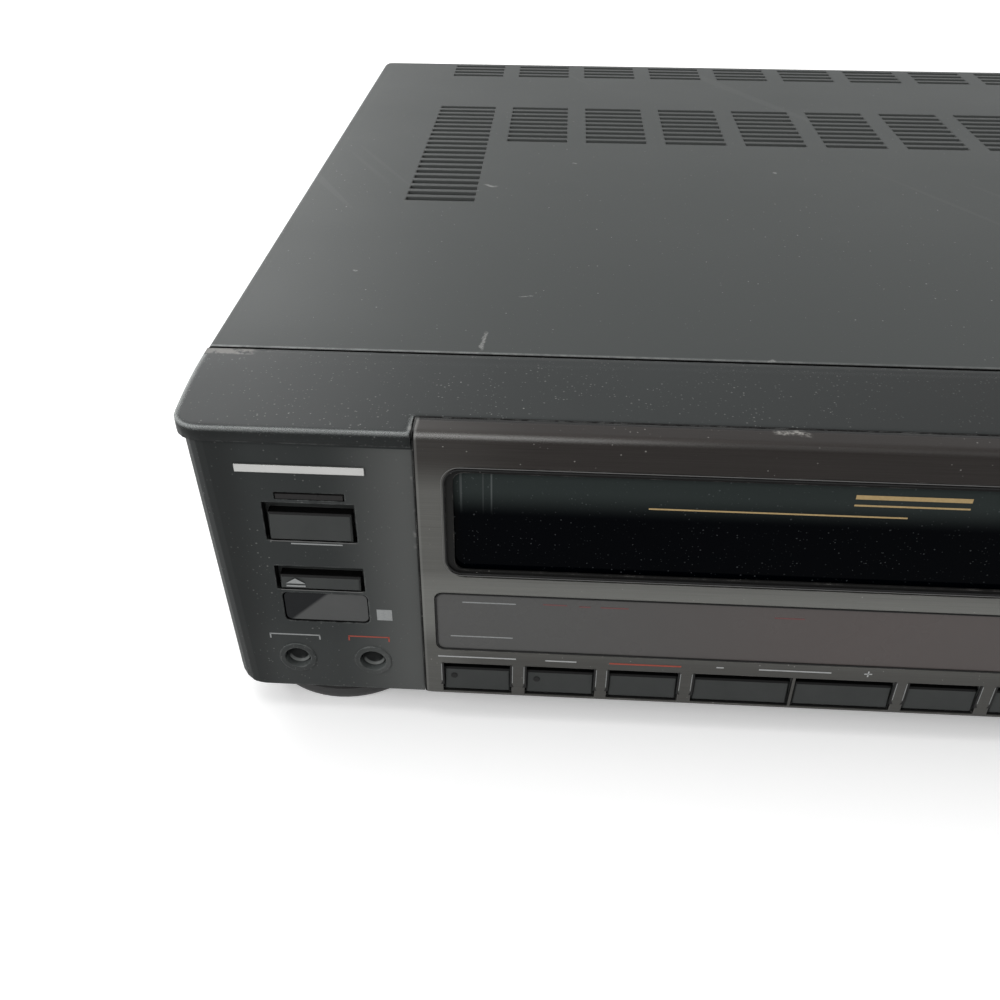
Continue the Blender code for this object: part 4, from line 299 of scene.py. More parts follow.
# %% [markdown]
# ## Black satin paint on the cover
# The cover is folded steel with a baked paint that is dark grey-green and dead even, with a faint
# orange-peel grain. Years of use leave pale dust, hair scratches, a rubbed edge and a few marks;
# the rubbed edge is also made pale as a painted highlight. A fine noise makes the grain, a slow one
# the patches where hands have polished it, and one that is stretched and turned makes the
# scratches.
# Each mark is a worn stroke at its own place. The front edge is chipped and carries a painted
# highlight, strongest at the left. Painted shade darkens the bars between the vent slots and the
# cut face of the front edge, and painted light makes the walls of the slots pale.

# %% Cover paint
paint, graph, shader = finish("cover_paint", specular_ior_level=0.12)
x, y, _ = graph.where()
back, up = graph.facing()
grain = graph.noise(0.35 * MM, 3, 0.6)
patches = graph.noise(60 * MM, 3, 0.55)
dust = graph.dust(2.2 * MM, 0.10, 22 * MM) + graph.dust(1.0 * MM, 0.12, 15 * MM) * 0.4
hairs = graph.noise(9 * MM, 2, 0.5, stretch=(1, 30, 1), angles=(0, 0, 0.5)).step(0.73, 0.76)
# Edge wear and painted highlight: the worn edges are made pale, which also stands for light on
# them.
edge_wear_and_highlight = graph.edges(0.8 * MM, 0.05, 0.4) * graph.noise(4 * MM, 4, 0.7).step(0.5, 0.7)
colour = graph.blend(patches, (0.030, 0.034, 0.033), (0.042, 0.046, 0.045))
colour = graph.blend(grain * 0.35, colour, (0.062, 0.067, 0.066))
colour = graph.blend(dust * 0.7 + hairs * 0.03, colour, (0.30, 0.30, 0.29))
colour = graph.blend(edge_wear_and_highlight * 0.55, colour, (0.20, 0.21, 0.20))
marks = [
    ((-0.1163, -0.1088), (-0.1171, -0.1192), 0.6 * MM),
    ((-0.1245, -0.0090), (-0.1195, -0.0105), 0.9 * MM),
    ((-0.0972, 0.0139), (-0.0955, 0.0133), 0.5 * MM),
    ((-0.0546, -0.1204), (-0.0528, -0.1188), 0.7 * MM),
    ((-0.1530, -0.0765), (-0.1515, -0.0770), 0.5 * MM),
    ((-0.0340, 0.0081), (-0.0325, 0.0078), 0.6 * MM),
    ((-0.1100, -0.0900), (-0.1060, -0.0890), 0.25 * MM),
    ((0.0520, -0.0360), (0.0640, -0.0420), 0.25 * MM),
    ((0.1200, 0.0500), (0.1260, 0.0700), 0.3 * MM),
]
for start, end, width in marks:
    mark = graph.stroke(start, end, width, 0.5)
    colour = graph.blend(mark * 0.6, colour, (0.36, 0.36, 0.35))
front_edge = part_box("top_cover")[0].y
# Chips and painted highlight: a pale band along the front edge, strongest at the left, with chips
# in it.
brink = 1 - y.step(front_edge + 0.5 * MM, front_edge + 1.2 * MM)
brink = brink * (1 - x.step(-0.120, -0.020) * 0.55)
chips_and_highlight = brink * (graph.noise(3 * MM, 4, 0.8).step(0.36, 0.62) * 0.5 + 0.35)
colour = graph.blend(chips_and_highlight, colour, (0.22, 0.23, 0.225))
VENTS_HALF_WIDTH, VENTS_HALF_DEPTH = 0.170, 0.143
inner = (x.size() < VENTS_HALF_WIDTH) * (y.size() < VENTS_HALF_DEPTH)
# Painted shade: the bars between the vent slots are darkened near the slot edges.
slat_shade = graph.edges(1.1 * MM, 0.005, 0.06) * inner * (up > 0.5)
colour = graph.blend(slat_shade * 0.55, colour, (0.012, 0.013, 0.012))
# Painted light: the walls of the vent slots are made paler.
colour = graph.blend(inner * (up.size() < 0.5), colour, (0.085, 0.090, 0.088))
# Painted shade: the cover's front cut face, in the gap over the front panel, is painted nearly
# black.
cut_edge_shade = (back < -0.5) * (y < front_edge + 1.2 * MM)
colour = graph.blend(cut_edge_shade, colour, grey(0.004))
drive(
    shader,
    graph,
    base_color=colour,
    roughness=patches * 0.14 + grain * 0.1 + 0.36,
    normal=graph.bump(grain, 0.03 * MM, 0.7, graph.rounded(0.4 * MM)),
)
wear(paint, "top_cover")

# %% [markdown]
# ## The front's moulding
# The front panel is moulded in black plastic with a finer, softer sheen than the paint. Painted
# light makes its face paler beside the middle plate and low down, and a painted highlight runs
# along the brow of the lip, which a mask finds by how far the rounded normal leans. Painted shade
# darkens a band under the lip, a band by each outer corner and the top towards the right, and
# paints the walls of its holes nearly black, while painted light makes the cups low on the wings
# paler. Its worn edges are made pale, which is also a painted highlight. The rear edge is torn at
# its left end, and painted shade makes a dark seam behind the middle plate.

# %% Front moulding
moulding, graph, shader = finish("front_moulding", specular_ior_level=0.12)
x, y, z = graph.where()
across = x.size()
back, up = graph.facing()
low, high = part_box("front_panel")
PLATE_HALF = 0.1280
HOLES_HALF, HOLES_TOP, CUP_TOP, CUP_FOOT = 0.1715, 0.0715, 0.0225, 0.0105
grain = graph.noise(0.22 * MM, 3, 0.6)
patches = graph.noise(30 * MM, 3, 0.6)
specks = graph.dust(1.5 * MM, 0.12, 16 * MM) + graph.dust(0.8 * MM, 0.26, 11 * MM) * 0.6
# Edge wear and painted highlight: the worn edges are made pale, which also stands for light on
# them.
edge_wear_and_highlight = graph.edges(0.9 * MM, 0.04, 0.35) * graph.noise(3 * MM, 4, 0.7).step(0.42, 0.66)
colour = graph.blend(patches, (0.015, 0.018, 0.018), (0.025, 0.028, 0.028))
colour = graph.blend(specks * 0.6, colour, (0.28, 0.28, 0.27))
face = 1 - y.step(low.y + 1.2 * MM, low.y + 2.6 * MM)
below_lip = face * (z < high.z - 4.4 * MM)
# Painted light: the face under the lip is paler beside the middle plate, a little paler all over,
# and more so low down.
plate_side_light = below_lip * (1 - across.step(PLATE_HALF - 0.2 * MM, PLATE_HALF + 20 * MM))
colour = graph.blend(plate_side_light * 0.8, colour, (0.110, 0.114, 0.111))
low_wing_light = 1 - z.step(low.z + 8 * MM, low.z + 26 * MM)
colour = graph.blend(below_lip * (low_wing_light * 0.12 + 0.06), colour, (0.12, 0.124, 0.121))
# Painted shade: a dark band down the face near each rounded outer corner.
corner = face * across.step(0.160, 0.168) * (1 - across.step(0.1738, 0.1756))
colour = graph.blend(corner * 0.6, colour, (0.006, 0.007, 0.007))
soft = graph.rounded(2.2 * MM)
lean = graph.parts(soft)[2]
wing = across > PLATE_HALF - 0.1 * MM
lip = z.step(high.z - 4.2 * MM, high.z - 3.6 * MM)
# Painted shade: a dark band under the lip, where the rounded normal turns down.
under = lip * (1 - lean.step(0.1, 0.4)) * wing
colour = graph.blend(under * 0.6, colour, (0.008, 0.009, 0.009))
# Painted shade: faces that look up are darkened towards the right.
deck = lean.step(0.94, 0.99) * x.step(-0.090, 0.030)
colour = graph.blend(deck * 0.8, colour, (0.003, 0.004, 0.004))
# Painted highlight: a pale line along the brow of the lip, where the rounded normal leans between
# up and front.
brow_highlight = lip * lean.step(0.45, 0.68) * (1 - lean.step(0.8, 0.94)) * wing * (y < high.y - 3 * MM)
colour = graph.blend(brow_highlight * (graph.noise(26 * MM, 2) * 0.6 + 0.6), colour, (0.64, 0.67, 0.66))
rear_edge = y.step(high.y - 2.8 * MM, high.y - 2.2 * MM) * (z > high.z - 4 * MM)
ragged = graph.noise(2.2 * MM, 4, 0.75).step(0.40, 0.52)
torn = rear_edge * (1 - x.step(-0.1680, -0.1655)) * ragged
colour = graph.blend(torn * 0.85, colour, (0.17, 0.165, 0.155))
# Painted shade: the top under and just behind the middle plate's fold is painted black, as the gap
# between them.
seam = (across < PLATE_HALF + 0.2 * MM) * (y < low.y + 6.95 * MM) * (z > high.z - 1 * MM)
colour = graph.blend(seam, colour, grey(0.002))
# Painted shade: the walls of the holes, and faces that look back, are painted nearly black.
hole = (back.size() < 0.6) * (across < HOLES_HALF) * (z > CUP_TOP) * (z < HOLES_TOP)
hole = hole * (y > low.y + 1.0 * MM)
colour = graph.blend(hole.larger(back > 0.5), colour, grey(0.003))
# Painted light: faces that look up, low in the holes of the wings, are made paler.
cup_light = (up > 0.25) * (across > PLATE_HALF + 2 * MM) * (z < CUP_TOP) * (z > CUP_FOOT)
colour = graph.blend(cup_light * (y < -0.140) * 0.8, colour, (0.11, 0.12, 0.118))
colour = graph.blend(edge_wear_and_highlight * 0.6, colour, (0.22, 0.23, 0.225))
scuff = graph.stroke((-0.1290, -0.1518), (-0.1240, -0.1512), 0.8 * MM)
colour = graph.blend(scuff * 0.8, colour, (0.36, 0.36, 0.35))
smooth = graph.between(lip, graph.rounded(0.45 * MM), soft)
drive(
    shader,
    graph,
    base_color=colour,
    roughness=0.34 + patches * 0.12 + grain * 0.06,
    normal=graph.bump(grain, 0.02 * MM, 0.6, smooth),
)
wear(moulding, "front_panel")

# %% [markdown]
# ## Brushed dark metal
# The middle of the front is a plate with a fine grain that runs across it. Brushing scratches a
# metal in one direction, so the noise is squeezed to long thin lines along X. The lines change the
# roughness and the height, and a little of the colour. The lower half and the left margin reflect a
# bright room, which is drawn as a paler tone. A painted highlight follows the fold at the top, a
# faint one runs by each end, and the worn edges are made pale as a painted highlight too. Painted
# shade makes the walls of the openings black and outlines the back edge and the ends. One scuff
# lies on the fold.

# %% Brushed fascia
brushed, graph, shader = finish("brushed_fascia", specular_ior_level=0.12)
x, y, z = graph.where()
low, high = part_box("fascia_panel")
lines = graph.noise(0.12 * MM, 3, 0.6, stretch=(160, 1, 1))
slow = graph.noise(28 * MM, 2, 0.5, stretch=(3, 1, 1))
specks = graph.dust(1.5 * MM, 0.11, 14 * MM)
# Edge wear and painted highlight: the worn edges are made pale, which also stands for light on
# them.
edge_wear_and_highlight = graph.edges(0.5 * MM, 0.04, 0.35) * graph.noise(5 * MM, 3, 0.7).step(0.45, 0.7)
low_down = 1 - z.step(high.z - 40 * MM, high.z - 26 * MM)
low_down = low_down * (z.step(high.z - 60 * MM, high.z - 48 * MM) * 0.6 + 0.4)
margin = 1 - x.step(low.x + 3 * MM, low.x + 26 * MM)
margin = margin * (1 - z.step(high.z - 15 * MM, high.z - 5 * MM) * 0.85)
colour = graph.blend(lines, (0.014, 0.012, 0.011), (0.036, 0.032, 0.030))
bright = graph.blend(lines, (0.120, 0.122, 0.114), (0.200, 0.202, 0.190))
colour = graph.blend(low_down.larger(margin * 0.6), colour, bright)
colour = graph.blend(slow * 0.2, colour, (0.020, 0.018, 0.017))
soft = graph.rounded(1.6 * MM)
lean = graph.parts(soft)[2]
fold = z.step(high.z - 4 * MM, high.z - 3 * MM)
# Painted highlight: a pale line along the fold, strongest at the left end.
fold_highlight = fold * lean.step(0.55, 0.7) * (1 - lean.step(0.74, 0.86))
left_end = 1 - x.step(low.x, low.x + 70 * MM)
colour = graph.blend(fold_highlight * (left_end * 0.5 + 0.08), colour, (0.42, 0.42, 0.41))
# Painted shade: faces set back from the plate's face, the walls of its openings, are painted nearly
# black and dull.
opening_shade = y.step(low.y + 0.2 * MM, low.y + 0.35 * MM) * (z < high.z - 4 * MM)
colour = graph.blend(opening_shade * 0.95, colour, grey(0.006))
# Painted shade: the plate's back edge and its two ends are painted black, as the gaps round it.
back_edge_shade = y.step(low.y + 5.3 * MM, low.y + 5.5 * MM)
end = x.size().step(high.x - 0.45 * MM, high.x - 0.3 * MM)
colour = graph.blend(back_edge_shade.larger(end), colour, grey(0.003))
# Painted highlight: a faint pale line just inside each end of the plate.
end_highlight = x.size().step(high.x - 1.0 * MM, high.x - 0.7 * MM) * (1 - end)
colour = graph.blend(end_highlight * 0.15, colour, (0.30, 0.30, 0.29))
scuff = graph.stroke((-0.0580, -0.1484), (-0.0500, -0.1498), 1.2 * MM, 0.55)
colour = graph.blend(specks * 0.5 + edge_wear_and_highlight * 0.4 + scuff * 0.75, colour, (0.36, 0.35, 0.33))
smooth = graph.between(fold, graph.rounded(0.35 * MM), soft)
drive(
    shader,
    graph,
    base_color=colour,
    metallic=0.5 - opening_shade * 0.5,
    roughness=lines * 0.14 + slow * 0.05 + opening_shade * 0.3 + 0.32,
    normal=graph.bump(lines, 0.015 * MM, 0.6, smooth),
)
wear(brushed, "fascia_panel")

# %% [markdown]
# ## The smoked door
# The door is a clear plastic tinted nearly black. It could be made transparent, but what shows
# through is almost nothing, so it is kept solid and dark, with a hard gloss and dust on it. A
# painted reflection makes its top paler, and three faint posts behind it are painted at the left
# within that reflection.

# %% Smoked door
smoked, graph, shader = finish("smoked_door", specular_ior_level=0.015)
dust = graph.dust(1.0 * MM, 0.19, 8 * MM) + graph.dust(0.6 * MM, 0.22, 5 * MM) * 0.6
smear = graph.noise(20 * MM, 4, 0.6, stretch=(2, 1, 1))
x, _, z = graph.where()
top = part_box("cassette_door")[1].z
# Painted reflection: the top of the door is made paler, and the posts behind it show only there.
painted_top_light = z.step(top - 11.5 * MM, top - 4.5 * MM)
colour = graph.blend(painted_top_light, (0.0002, 0.0006, 0.0014), (0.030, 0.037, 0.036))
for place, width, tone in ((-0.1186, 0.5, 0.10), (-0.1141, 0.3, 0.07), (-0.1124, 0.35, 0.12)):
    post = 1 - (x - place).size().step(width * 0.3 * MM, width * 0.6 * MM)
    colour = graph.blend(post * painted_top_light * 0.75, colour, (tone * 0.9, tone, tone))
colour = graph.blend(dust * 0.16, colour, (0.25, 0.27, 0.28))
drive(shader, graph, base_color=colour, roughness=smear * 0.05 + dust * 0.3 + 0.05)
wear(smoked, "cassette_door")

# %% [markdown]
# ## The display's lens
# A flat grey-brown plastic window covers the display. It is semi-gloss, and a little redder towards
# the right. The unlit segments of the display are a row of dull red dashes, drawn further on.

# %% Display lens
lens, graph, shader = finish("display_lens", specular_ior_level=0.2)
mist = graph.noise(16 * MM, 3, 0.6)
specks = graph.dust(2.0 * MM, 0.06, 10 * MM)
rosy = graph.where()[0].step(-0.110, -0.030)
colour = graph.blend(rosy * 0.8, (0.092, 0.092, 0.090), (0.104, 0.086, 0.082))
colour = graph.blend(mist * 0.2, colour, grey(0.05))
colour = graph.blend(specks * 0.3, colour, grey(0.3))
drive(shader, graph, base_color=colour, roughness=mist * 0.12 + 0.22)
wear(lens, "display_lens")

# %% [markdown]
# ## Sensor window and lamp
# The small window over the remote sensor is smoked like the door but greyer. A painted reflection
# lies on it: a straight mask across its corner leaves it dark on one side and a paler wedge on the
# other.

# %% Sensor window and lamp
sensor, graph, shader = finish("sensor_window", specular_ior_level=0.12)
x, _, z = graph.where()
# Painted reflection: dark on one side of a straight line across the corner, a paler wedge on the
# other.
reflection_wedge = (x - z * 1.1).step(-0.1888, -0.1875)
mist = graph.noise(5 * MM, 3, 0.6)
colour = graph.blend(reflection_wedge, (0.003, 0.004, 0.005), (0.092, 0.094, 0.093))
colour = graph.blend(mist * 0.2, colour, (0.02, 0.02, 0.022))
drive(shader, graph, base_color=colour, roughness=mist * 0.1 + 0.1)
wear(sensor, "remote_window")

lamp, graph, shader = finish("lamp_plastic", specular_ior_level=0.15)
mist = graph.noise(1.5 * MM, 3, 0.6)
colour = graph.blend(mist, grey(0.01), (0.018, 0.016, 0.016))
drive(shader, graph, base_color=colour, roughness=mist * 0.15 + 0.22)
wear(lamp, "power_indicator")

# %% [markdown]
# ## Keys
# Keys are moulded like the front, and their faces are polished by fingers. Their colour is a little
# paler than the front's, which is painted light for faces that tilt up. Their tops, sides and backs
# sit in their holes and are painted nearly black as shade.

# %% Key plastic
keys = [name for name in nodes if name.endswith("_button")]
key_plastic, graph, shader = finish("key_plastic", specular_ior_level=0.15)
grain = graph.noise(0.2 * MM, 3, 0.6)
patches = graph.noise(7 * MM, 3, 0.6)
# Edge wear and painted highlight: the worn edges are made pale, which also stands for light on
# them.
edge_wear_and_highlight = graph.edges(0.35 * MM, 0.05, 0.4) * graph.noise(2 * MM, 3, 0.7).step(0.35, 0.65)
# Painted light: the key colour is paler than the moulding's, for faces that tilt up.
colour = graph.blend(patches, (0.032, 0.035, 0.034), (0.050, 0.053, 0.052))
colour = graph.blend(edge_wear_and_highlight * 0.5, colour, (0.12, 0.125, 0.12))
back, up = graph.facing()
# Painted shade: the tops, sides and backs of the keys are painted nearly black.
hidden_shade = (up > 0.7) + (back > -0.3)
colour = graph.blend(hidden_shade, colour, grey(0.003))
drive(
    shader,
    graph,
    base_color=colour,
    roughness=0.3 + patches * 0.14 + grain * 0.05,
    normal=graph.bump(grain, 0.015 * MM, 0.5, graph.rounded(0.25 * MM)),
)
wear(key_plastic, *keys)

# %% [markdown]
# ## Plain metals, plastics and boards inside
# What lies under the cover shows through its slots and behind the open door. One helper covers most
# of these finishes: a base colour that drifts to a second one, and a grain in height and roughness.
# Zinc-plated sheet is made apart, because cells give it pale and dark flakes.


# %% Finishes for the inside
def plain_finish(name, first, second, rough, grain_size=0.3, stretch=(1, 1, 1), metallic=0.0):
    made, graph, shader = finish(name, metallic=metallic)
    drift = graph.noise(12 * MM, 3, 0.6)
    grain = graph.noise(grain_size * MM, 3, 0.6, stretch=stretch)
    drive(
        shader,
        graph,
        base_color=graph.blend(drift * 0.7 + grain * 0.3, first, second),
        roughness=drift * 0.12 + grain * 0.1 + rough,
        normal=graph.bump(grain, 0.02 * MM, 0.5, graph.rounded(0.2 * MM)),
    )
    return made


zinc, graph, shader = finish("zinc_sheet", metallic=0.8)
x, y, _ = graph.where()
cell_colour = graph.cells(3 * MM, (1.6, 1, 1)).other("Color")
flake = graph.add("ShaderNodeSeparateColor", None, {0: cell_colour})
drift = graph.noise(40 * MM, 3, 0.6)
grain = graph.noise(0.5 * MM, 3, 0.6)
colour = graph.blend(flake, (0.27, 0.28, 0.28), (0.32, 0.33, 0.33))
colour = graph.blend(drift * 0.5, colour, (0.22, 0.22, 0.21))
# Painted shade: the zinc's front corners, in shadow behind the front, are painted nearly black.
front_corner_shade = (y < -0.110) * (x.size() > 0.165)
colour = graph.blend(front_corner_shade, colour, grey(0.004))
drive(
    shader,
    graph,
    base_color=colour,
    roughness=flake * 0.05 + drift * 0.08 + 0.34,
    normal=graph.bump(grain + flake * 0.3, 0.02 * MM, 0.5, graph.rounded(0.3 * MM)),
)
laminate = plain_finish("board_laminate", (0.15, 0.09, 0.035), (0.20, 0.13, 0.05), 0.42)
foot_plastic = plain_finish("foot_plastic", grey(0.012), grey(0.022), 0.5)
screw_metal = plain_finish("screw_metal", grey(0.03), grey(0.08), 0.3, metallic=0.8)
tube_glass = plain_finish("tube_glass", (0.03, 0.04, 0.04), (0.06, 0.07, 0.07), 0.06, 1.0)
core_iron = plain_finish("core_iron", (0.10, 0.09, 0.08), (0.15, 0.13, 0.11), 0.42, metallic=0.5)
turned = (0.1, (60, 60, 1), 1.0)
drum_metal = plain_finish("drum_metal", (0.46, 0.47, 0.48), (0.56, 0.57, 0.58), 0.18, *turned)
shaft_metal = plain_finish("shaft_metal", grey(0.44), (0.54, 0.54, 0.53), 0.16, *turned)
nylon = plain_finish("white_nylon", (0.50, 0.50, 0.46), (0.62, 0.62, 0.58), 0.36)
rubber = plain_finish("roller_rubber", grey(0.012), grey(0.028), 0.6)
connector = plain_finish("connector_plastic", grey(0.02), grey(0.036), 0.36)

wear(zinc, "chassis_base", "rear_panel", "mechanism_chassis", "side_bracket_left")
wear(zinc, "side_bracket_right", "cassette_carriage", "cassette_holder", "pinch_arm", "tuner_box")
wear(laminate, "main_board", "front_board", "power_supply_board")
wear(foot_plastic, *[name for name in nodes if name.startswith("foot_")])
wear(screw_metal, *[name for name in nodes if name.startswith("cover_screw")])
wear(tube_glass, "display_tube")
wear(core_iron, "mains_transformer")
wear(drum_metal, "upper_drum", "lower_drum")
wear(shaft_metal, "capstan", "loading_motor")
wear(nylon, "supply_reel", "takeup_reel", "supply_guide", "takeup_guide")
wear(nylon, "loading_gear", "loading_pinion")
wear(rubber, "pinch_roller")
wear(connector, "av_jack_block", "mains_inlet")
print("undressed:", sorted(set(nodes) - dressed))

# %% [markdown]
# ## Signs on the front
# The real front has its signs printed on it. Here they are plain: rules, a plus, a minus and the
# common sign for eject, and no words. A print could be painted by the material. Thin foils were
# chosen, because a foil keeps a sharp edge at any distance and rides with the key that wears it.


# %% A finish for each ink
def ink(name, first, second, metallic=0.0):
    made, graph, shader = finish(name, specular_ior_level=0.2, metallic=metallic)
    worn = graph.noise(0.8 * MM, 4, 0.7)
    drive(shader, graph, base_color=graph.blend(worn, first, second), roughness=worn * 0.2 + 0.35)
    return made


grey_ink = ink("grey_ink", (0.22, 0.23, 0.23), (0.40, 0.41, 0.41))
pale_ink = ink("pale_ink", (0.34, 0.35, 0.35), (0.56, 0.57, 0.57))
red_ink = ink("red_ink", (0.26, 0.05, 0.035), (0.44, 0.09, 0.06))
gold_ink = ink("gold_ink", (0.36, 0.25, 0.11), (0.55, 0.40, 0.20))
# Painted highlight: this pale line is no print, but lines of light on edges.
highlight_line = ink("highlight_line", grey(0.1), (0.17, 0.17, 0.165))
# Painted shade: this dark ink is no print, but slots, grooves and dimples in shade.
shade_ink = ink("shade_ink", grey(0.002), grey(0.008))
rose_ink = ink("rose_ink", (0.13, 0.055, 0.055), (0.20, 0.080, 0.080))

# %% [markdown]
# A foil is cut from outlines in millimetres, across from the left side and down from the top of the
# front. Its back stands a little inside the face, so that no gap shows under it. The same few
# shapes serve all the signs: a bar, a rule, a rule with a tick at each end, and a disc.


# %% Foils
def keep(name, mesh, material, body):
    """Makes a piece of a mesh, gives it its finish, and lets it ride on a body."""
    mesh.materials.clear()
    mesh.materials.append(material)
    piece = put(name, mesh)
    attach(piece, body)
    print(name, "has", len(mesh.polygons), "faces and rides on", body)
    return piece


def mesh_of(shape, name):
    """A mesh of loose corners and faces, with the faces turned outward."""
    bmesh.ops.recalc_face_normals(shape, faces=shape.faces)
    mesh = bpy.data.meshes.new(name)
    shape.to_mesh(mesh)
    shape.free()
    return mesh


def spot_at(across, drop):
    """Millimetres from the left side and down from the top of the front, as x and z in metres."""
    return cad_box[0].x + across * MM, cad_box[1].z - drop * MM


SUNK = 0.06 * MM


def foil(name, body, material, face, outlines, thick=0.04):
    """Flat shapes on a face that looks along -Y, from outlines in millimetres across and down."""
    shape = bmesh.new()
    for outline in outlines:
        corners = [spot_at(*corner) for corner in outline]
        front = [shape.verts.new((x, face - thick * MM, z)) for x, z in corners]
        back = [shape.verts.new((x, face + SUNK, z)) for x, z in corners]
        shape.faces.new(front)
        shape.faces.new(back[::-1])
        for start in range(len(front)):
            end = (start + 1) % len(front)
            shape.faces.new((front[end], front[start], back[start], back[end]))
    return keep(name, mesh_of(shape, name), material, body)


def bar(left, right, top, bottom):
    return [(left, top), (right, top), (right, bottom), (left, bottom)]


def rule(left, right, drop, thick=0.32):
    return bar(left, right, drop - thick / 2, drop + thick / 2)


def bracket(left, right, drop, thick=0.32):
    """A rule with a tick down at each end."""
    ends = (left, left + thick), (right - thick, right)
    return [rule(left, right, drop, thick), *(bar(*end, drop, drop + 1.3) for end in ends)]


def disc(across, drop, radius, sides=20):
    angles = [math.tau * turn / sides for turn in range(sides)]
    return [(across + radius * math.cos(a), drop + radius * math.sin(a)) for a in angles]


# %% [markdown]
# The two sides of the front stand 1.2 mm behind the middle plate. Each sign is placed by what it
# belongs to: a rule over or under its key, the eject sign on its key, a minus and a plus over the
# channel keys. The rules for the two round keys end in short ticks that point at the keys.
# A pale rule under the hole of each large key is a painted highlight on the hole's lip, and a plain
# metal plate stands high on the left side. The lens has two short rules and its dashes, and the
# door a rule and two bars.

# %% Signs
plate_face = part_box("fascia_panel")[0].y
side_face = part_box("remote_window")[0].y - 0.3 * MM
lens_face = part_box("display_lens")[0].y
door_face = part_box("cassette_door")[0].y

foil("power_rule", "case", grey_ink, side_face, [rule(22.6, 33.6, 29.0)])
# Painted highlight: a pale rule under each large key's hole.
lips = [rule(18.2, 36.6, 28.42, 0.2), rule(18.9, 37.0, 41.92, 0.2)]
foil("key_hole_lips", "case", highlight_line, side_face, lips)
foil("counter_rule", "case", grey_ink, side_face, bracket(14.6, 26.2, 55.2))
foil("timer_rule", "case", red_ink, side_face, bracket(32.6, 42.0, 55.0))
foil("remote_square", "case", grey_ink, side_face, [bar(39.6, 43.0, 46.7, 49.8)])
eject_shapes = [[(20.3, 39.9), (22.4, 38.5), (24.5, 39.9)], rule(20.3, 24.5, 40.6, 0.4)]
foil("eject_sign", "eject_button", grey_ink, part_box("eject_button")[0].y, eject_shapes)
plate_metal = plain_finish(
    "badge_metal", (0.34, 0.34, 0.33), (0.46, 0.46, 0.45), 0.24, 0.2, (30, 1, 1), 0.9
)
foil("badge_plate", "case", plate_metal, side_face, [bar(13.2, 39.6, 9.0, 10.8)], 0.35)
foil("key_rules", "case", pale_ink, plate_face, [rule(53.0, 70.6, 58.8), rule(77.2, 84.2, 58.9)])
foil("timer_key_rule", "case", red_ink, plate_face, [rule(91.6, 107.6, 58.9, 0.4)])
plus = [rule(147.9, 149.6, 58.7, 0.3), bar(148.6, 148.9, 57.85, 59.55)]
foil("channel_signs", "case", pale_ink, plate_face, [rule(115.4, 117.0, 58.7, 0.3), *plus])
foil("channel_rule", "case", pale_ink, plate_face, [rule(124.8, 140.7, 58.8)])
lens_rules = [rule(58.8, 70.4, 42.6, 0.28), rule(56.0, 69.8, 52.6, 0.28)]
foil("lens_rules", "case", grey_ink, lens_face, lens_rules)
middles = [(78.9, 42.4, 2.6), (85.3, 42.6, 1.2), (91.7, 42.6, 3.0), (129.1, 43.5, 3.2)]
dashes = [rule(across - half, across + half, drop, 0.3) for across, drop, half in middles]
foil("lens_dashes", "case", rose_ink, lens_face, dashes)
foil("door_rule", "cassette_door", gold_ink, door_face, [rule(96.9, 148.2, 16.9, 0.35)])
door_bars = [rule(137.2, 159.8, 12.2, 1.0), rule(137.2, 159.8, 14.2, 0.4)]
foil("door_bars", "cassette_door", gold_ink, door_face, door_bars)

# %% [markdown]
# ## Dark slots beside the lower keys
# On the real front each lower key runs down to the panel's edge, and only a thin dark slot at each
# side sets it off, with a small flare at its foot. That dark slot is painted shade, a dark foil,
# and a pale line runs beside it.

# %% Slots
keys_of_a_slot = [
    ("synchro_edit", "synchro_edit"), ("edit", "edit"), ("timer_rec", "timer_rec"),
    ("channel_down", "channel_up"), ("input_select", "input_select"), ("tape_speed", "tape_speed"),
]
slot_shade_shapes, pale_shapes = [], []
for first, last in keys_of_a_slot:
    left = (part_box(first + "_button")[0].x - cad_box[0].x) / MM + 0.25
    right = (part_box(last + "_button")[1].x - cad_box[0].x) / MM - 0.3
    for edge, way in ((left, -1), (right, 1)):
        inside, outside, foot = edge - way * 0.1, edge + way * 0.3, edge + way * 0.8
        slot_shade_shapes.append(
            [(inside, 60.8), (outside, 60.8), (outside, 66.6), (foot, 67.7), (inside, 67.7)]
        )
        inside, outside = edge + way * 0.4, edge + way * 0.55
        pale_shapes.append([(inside, 61.2), (outside, 61.2), (outside, 66.4), (inside, 66.5)])
# Painted shade: a dark foil at each side of a key stands for the dark slot.
foil("key_slot_shade", "case", shade_ink, plate_face, slot_shade_shapes, 0.02)
foil("key_slot_edges", "case", grey_ink, plate_face, pale_shapes, 0.03)
key_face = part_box("edit_button")[0].y
# Painted shade: a dark disc on each of two keys stands for its dimple.
foil("synchro_dimple", "synchro_edit_button", shade_ink, key_face, [disc(56.5, 65.2, 0.75)], 0.02)
foil("edit_dimple", "edit_button", shade_ink, key_face, [disc(75.4, 65.3, 0.75)], 0.02)

# %% [markdown]
# ## Fine lines that frame the window and the lens
# A thin bead runs round the window and round the display's lens. The dark ones are painted shade in
# the grooves there, and a pale one round the window is a painted highlight on its edge. A bead
# follows a rounded rectangle, so it is a job for Geometry Nodes: a rectangle, filleted, with a
# small round profile swept along it. One tree with named sizes serves every frame. Its result is
# turned into a plain mesh.

# %% A tree with named inputs
SOCKETS = {float: "NodeSocketFloat", int: "NodeSocketInt", tuple: "NodeSocketVector"}


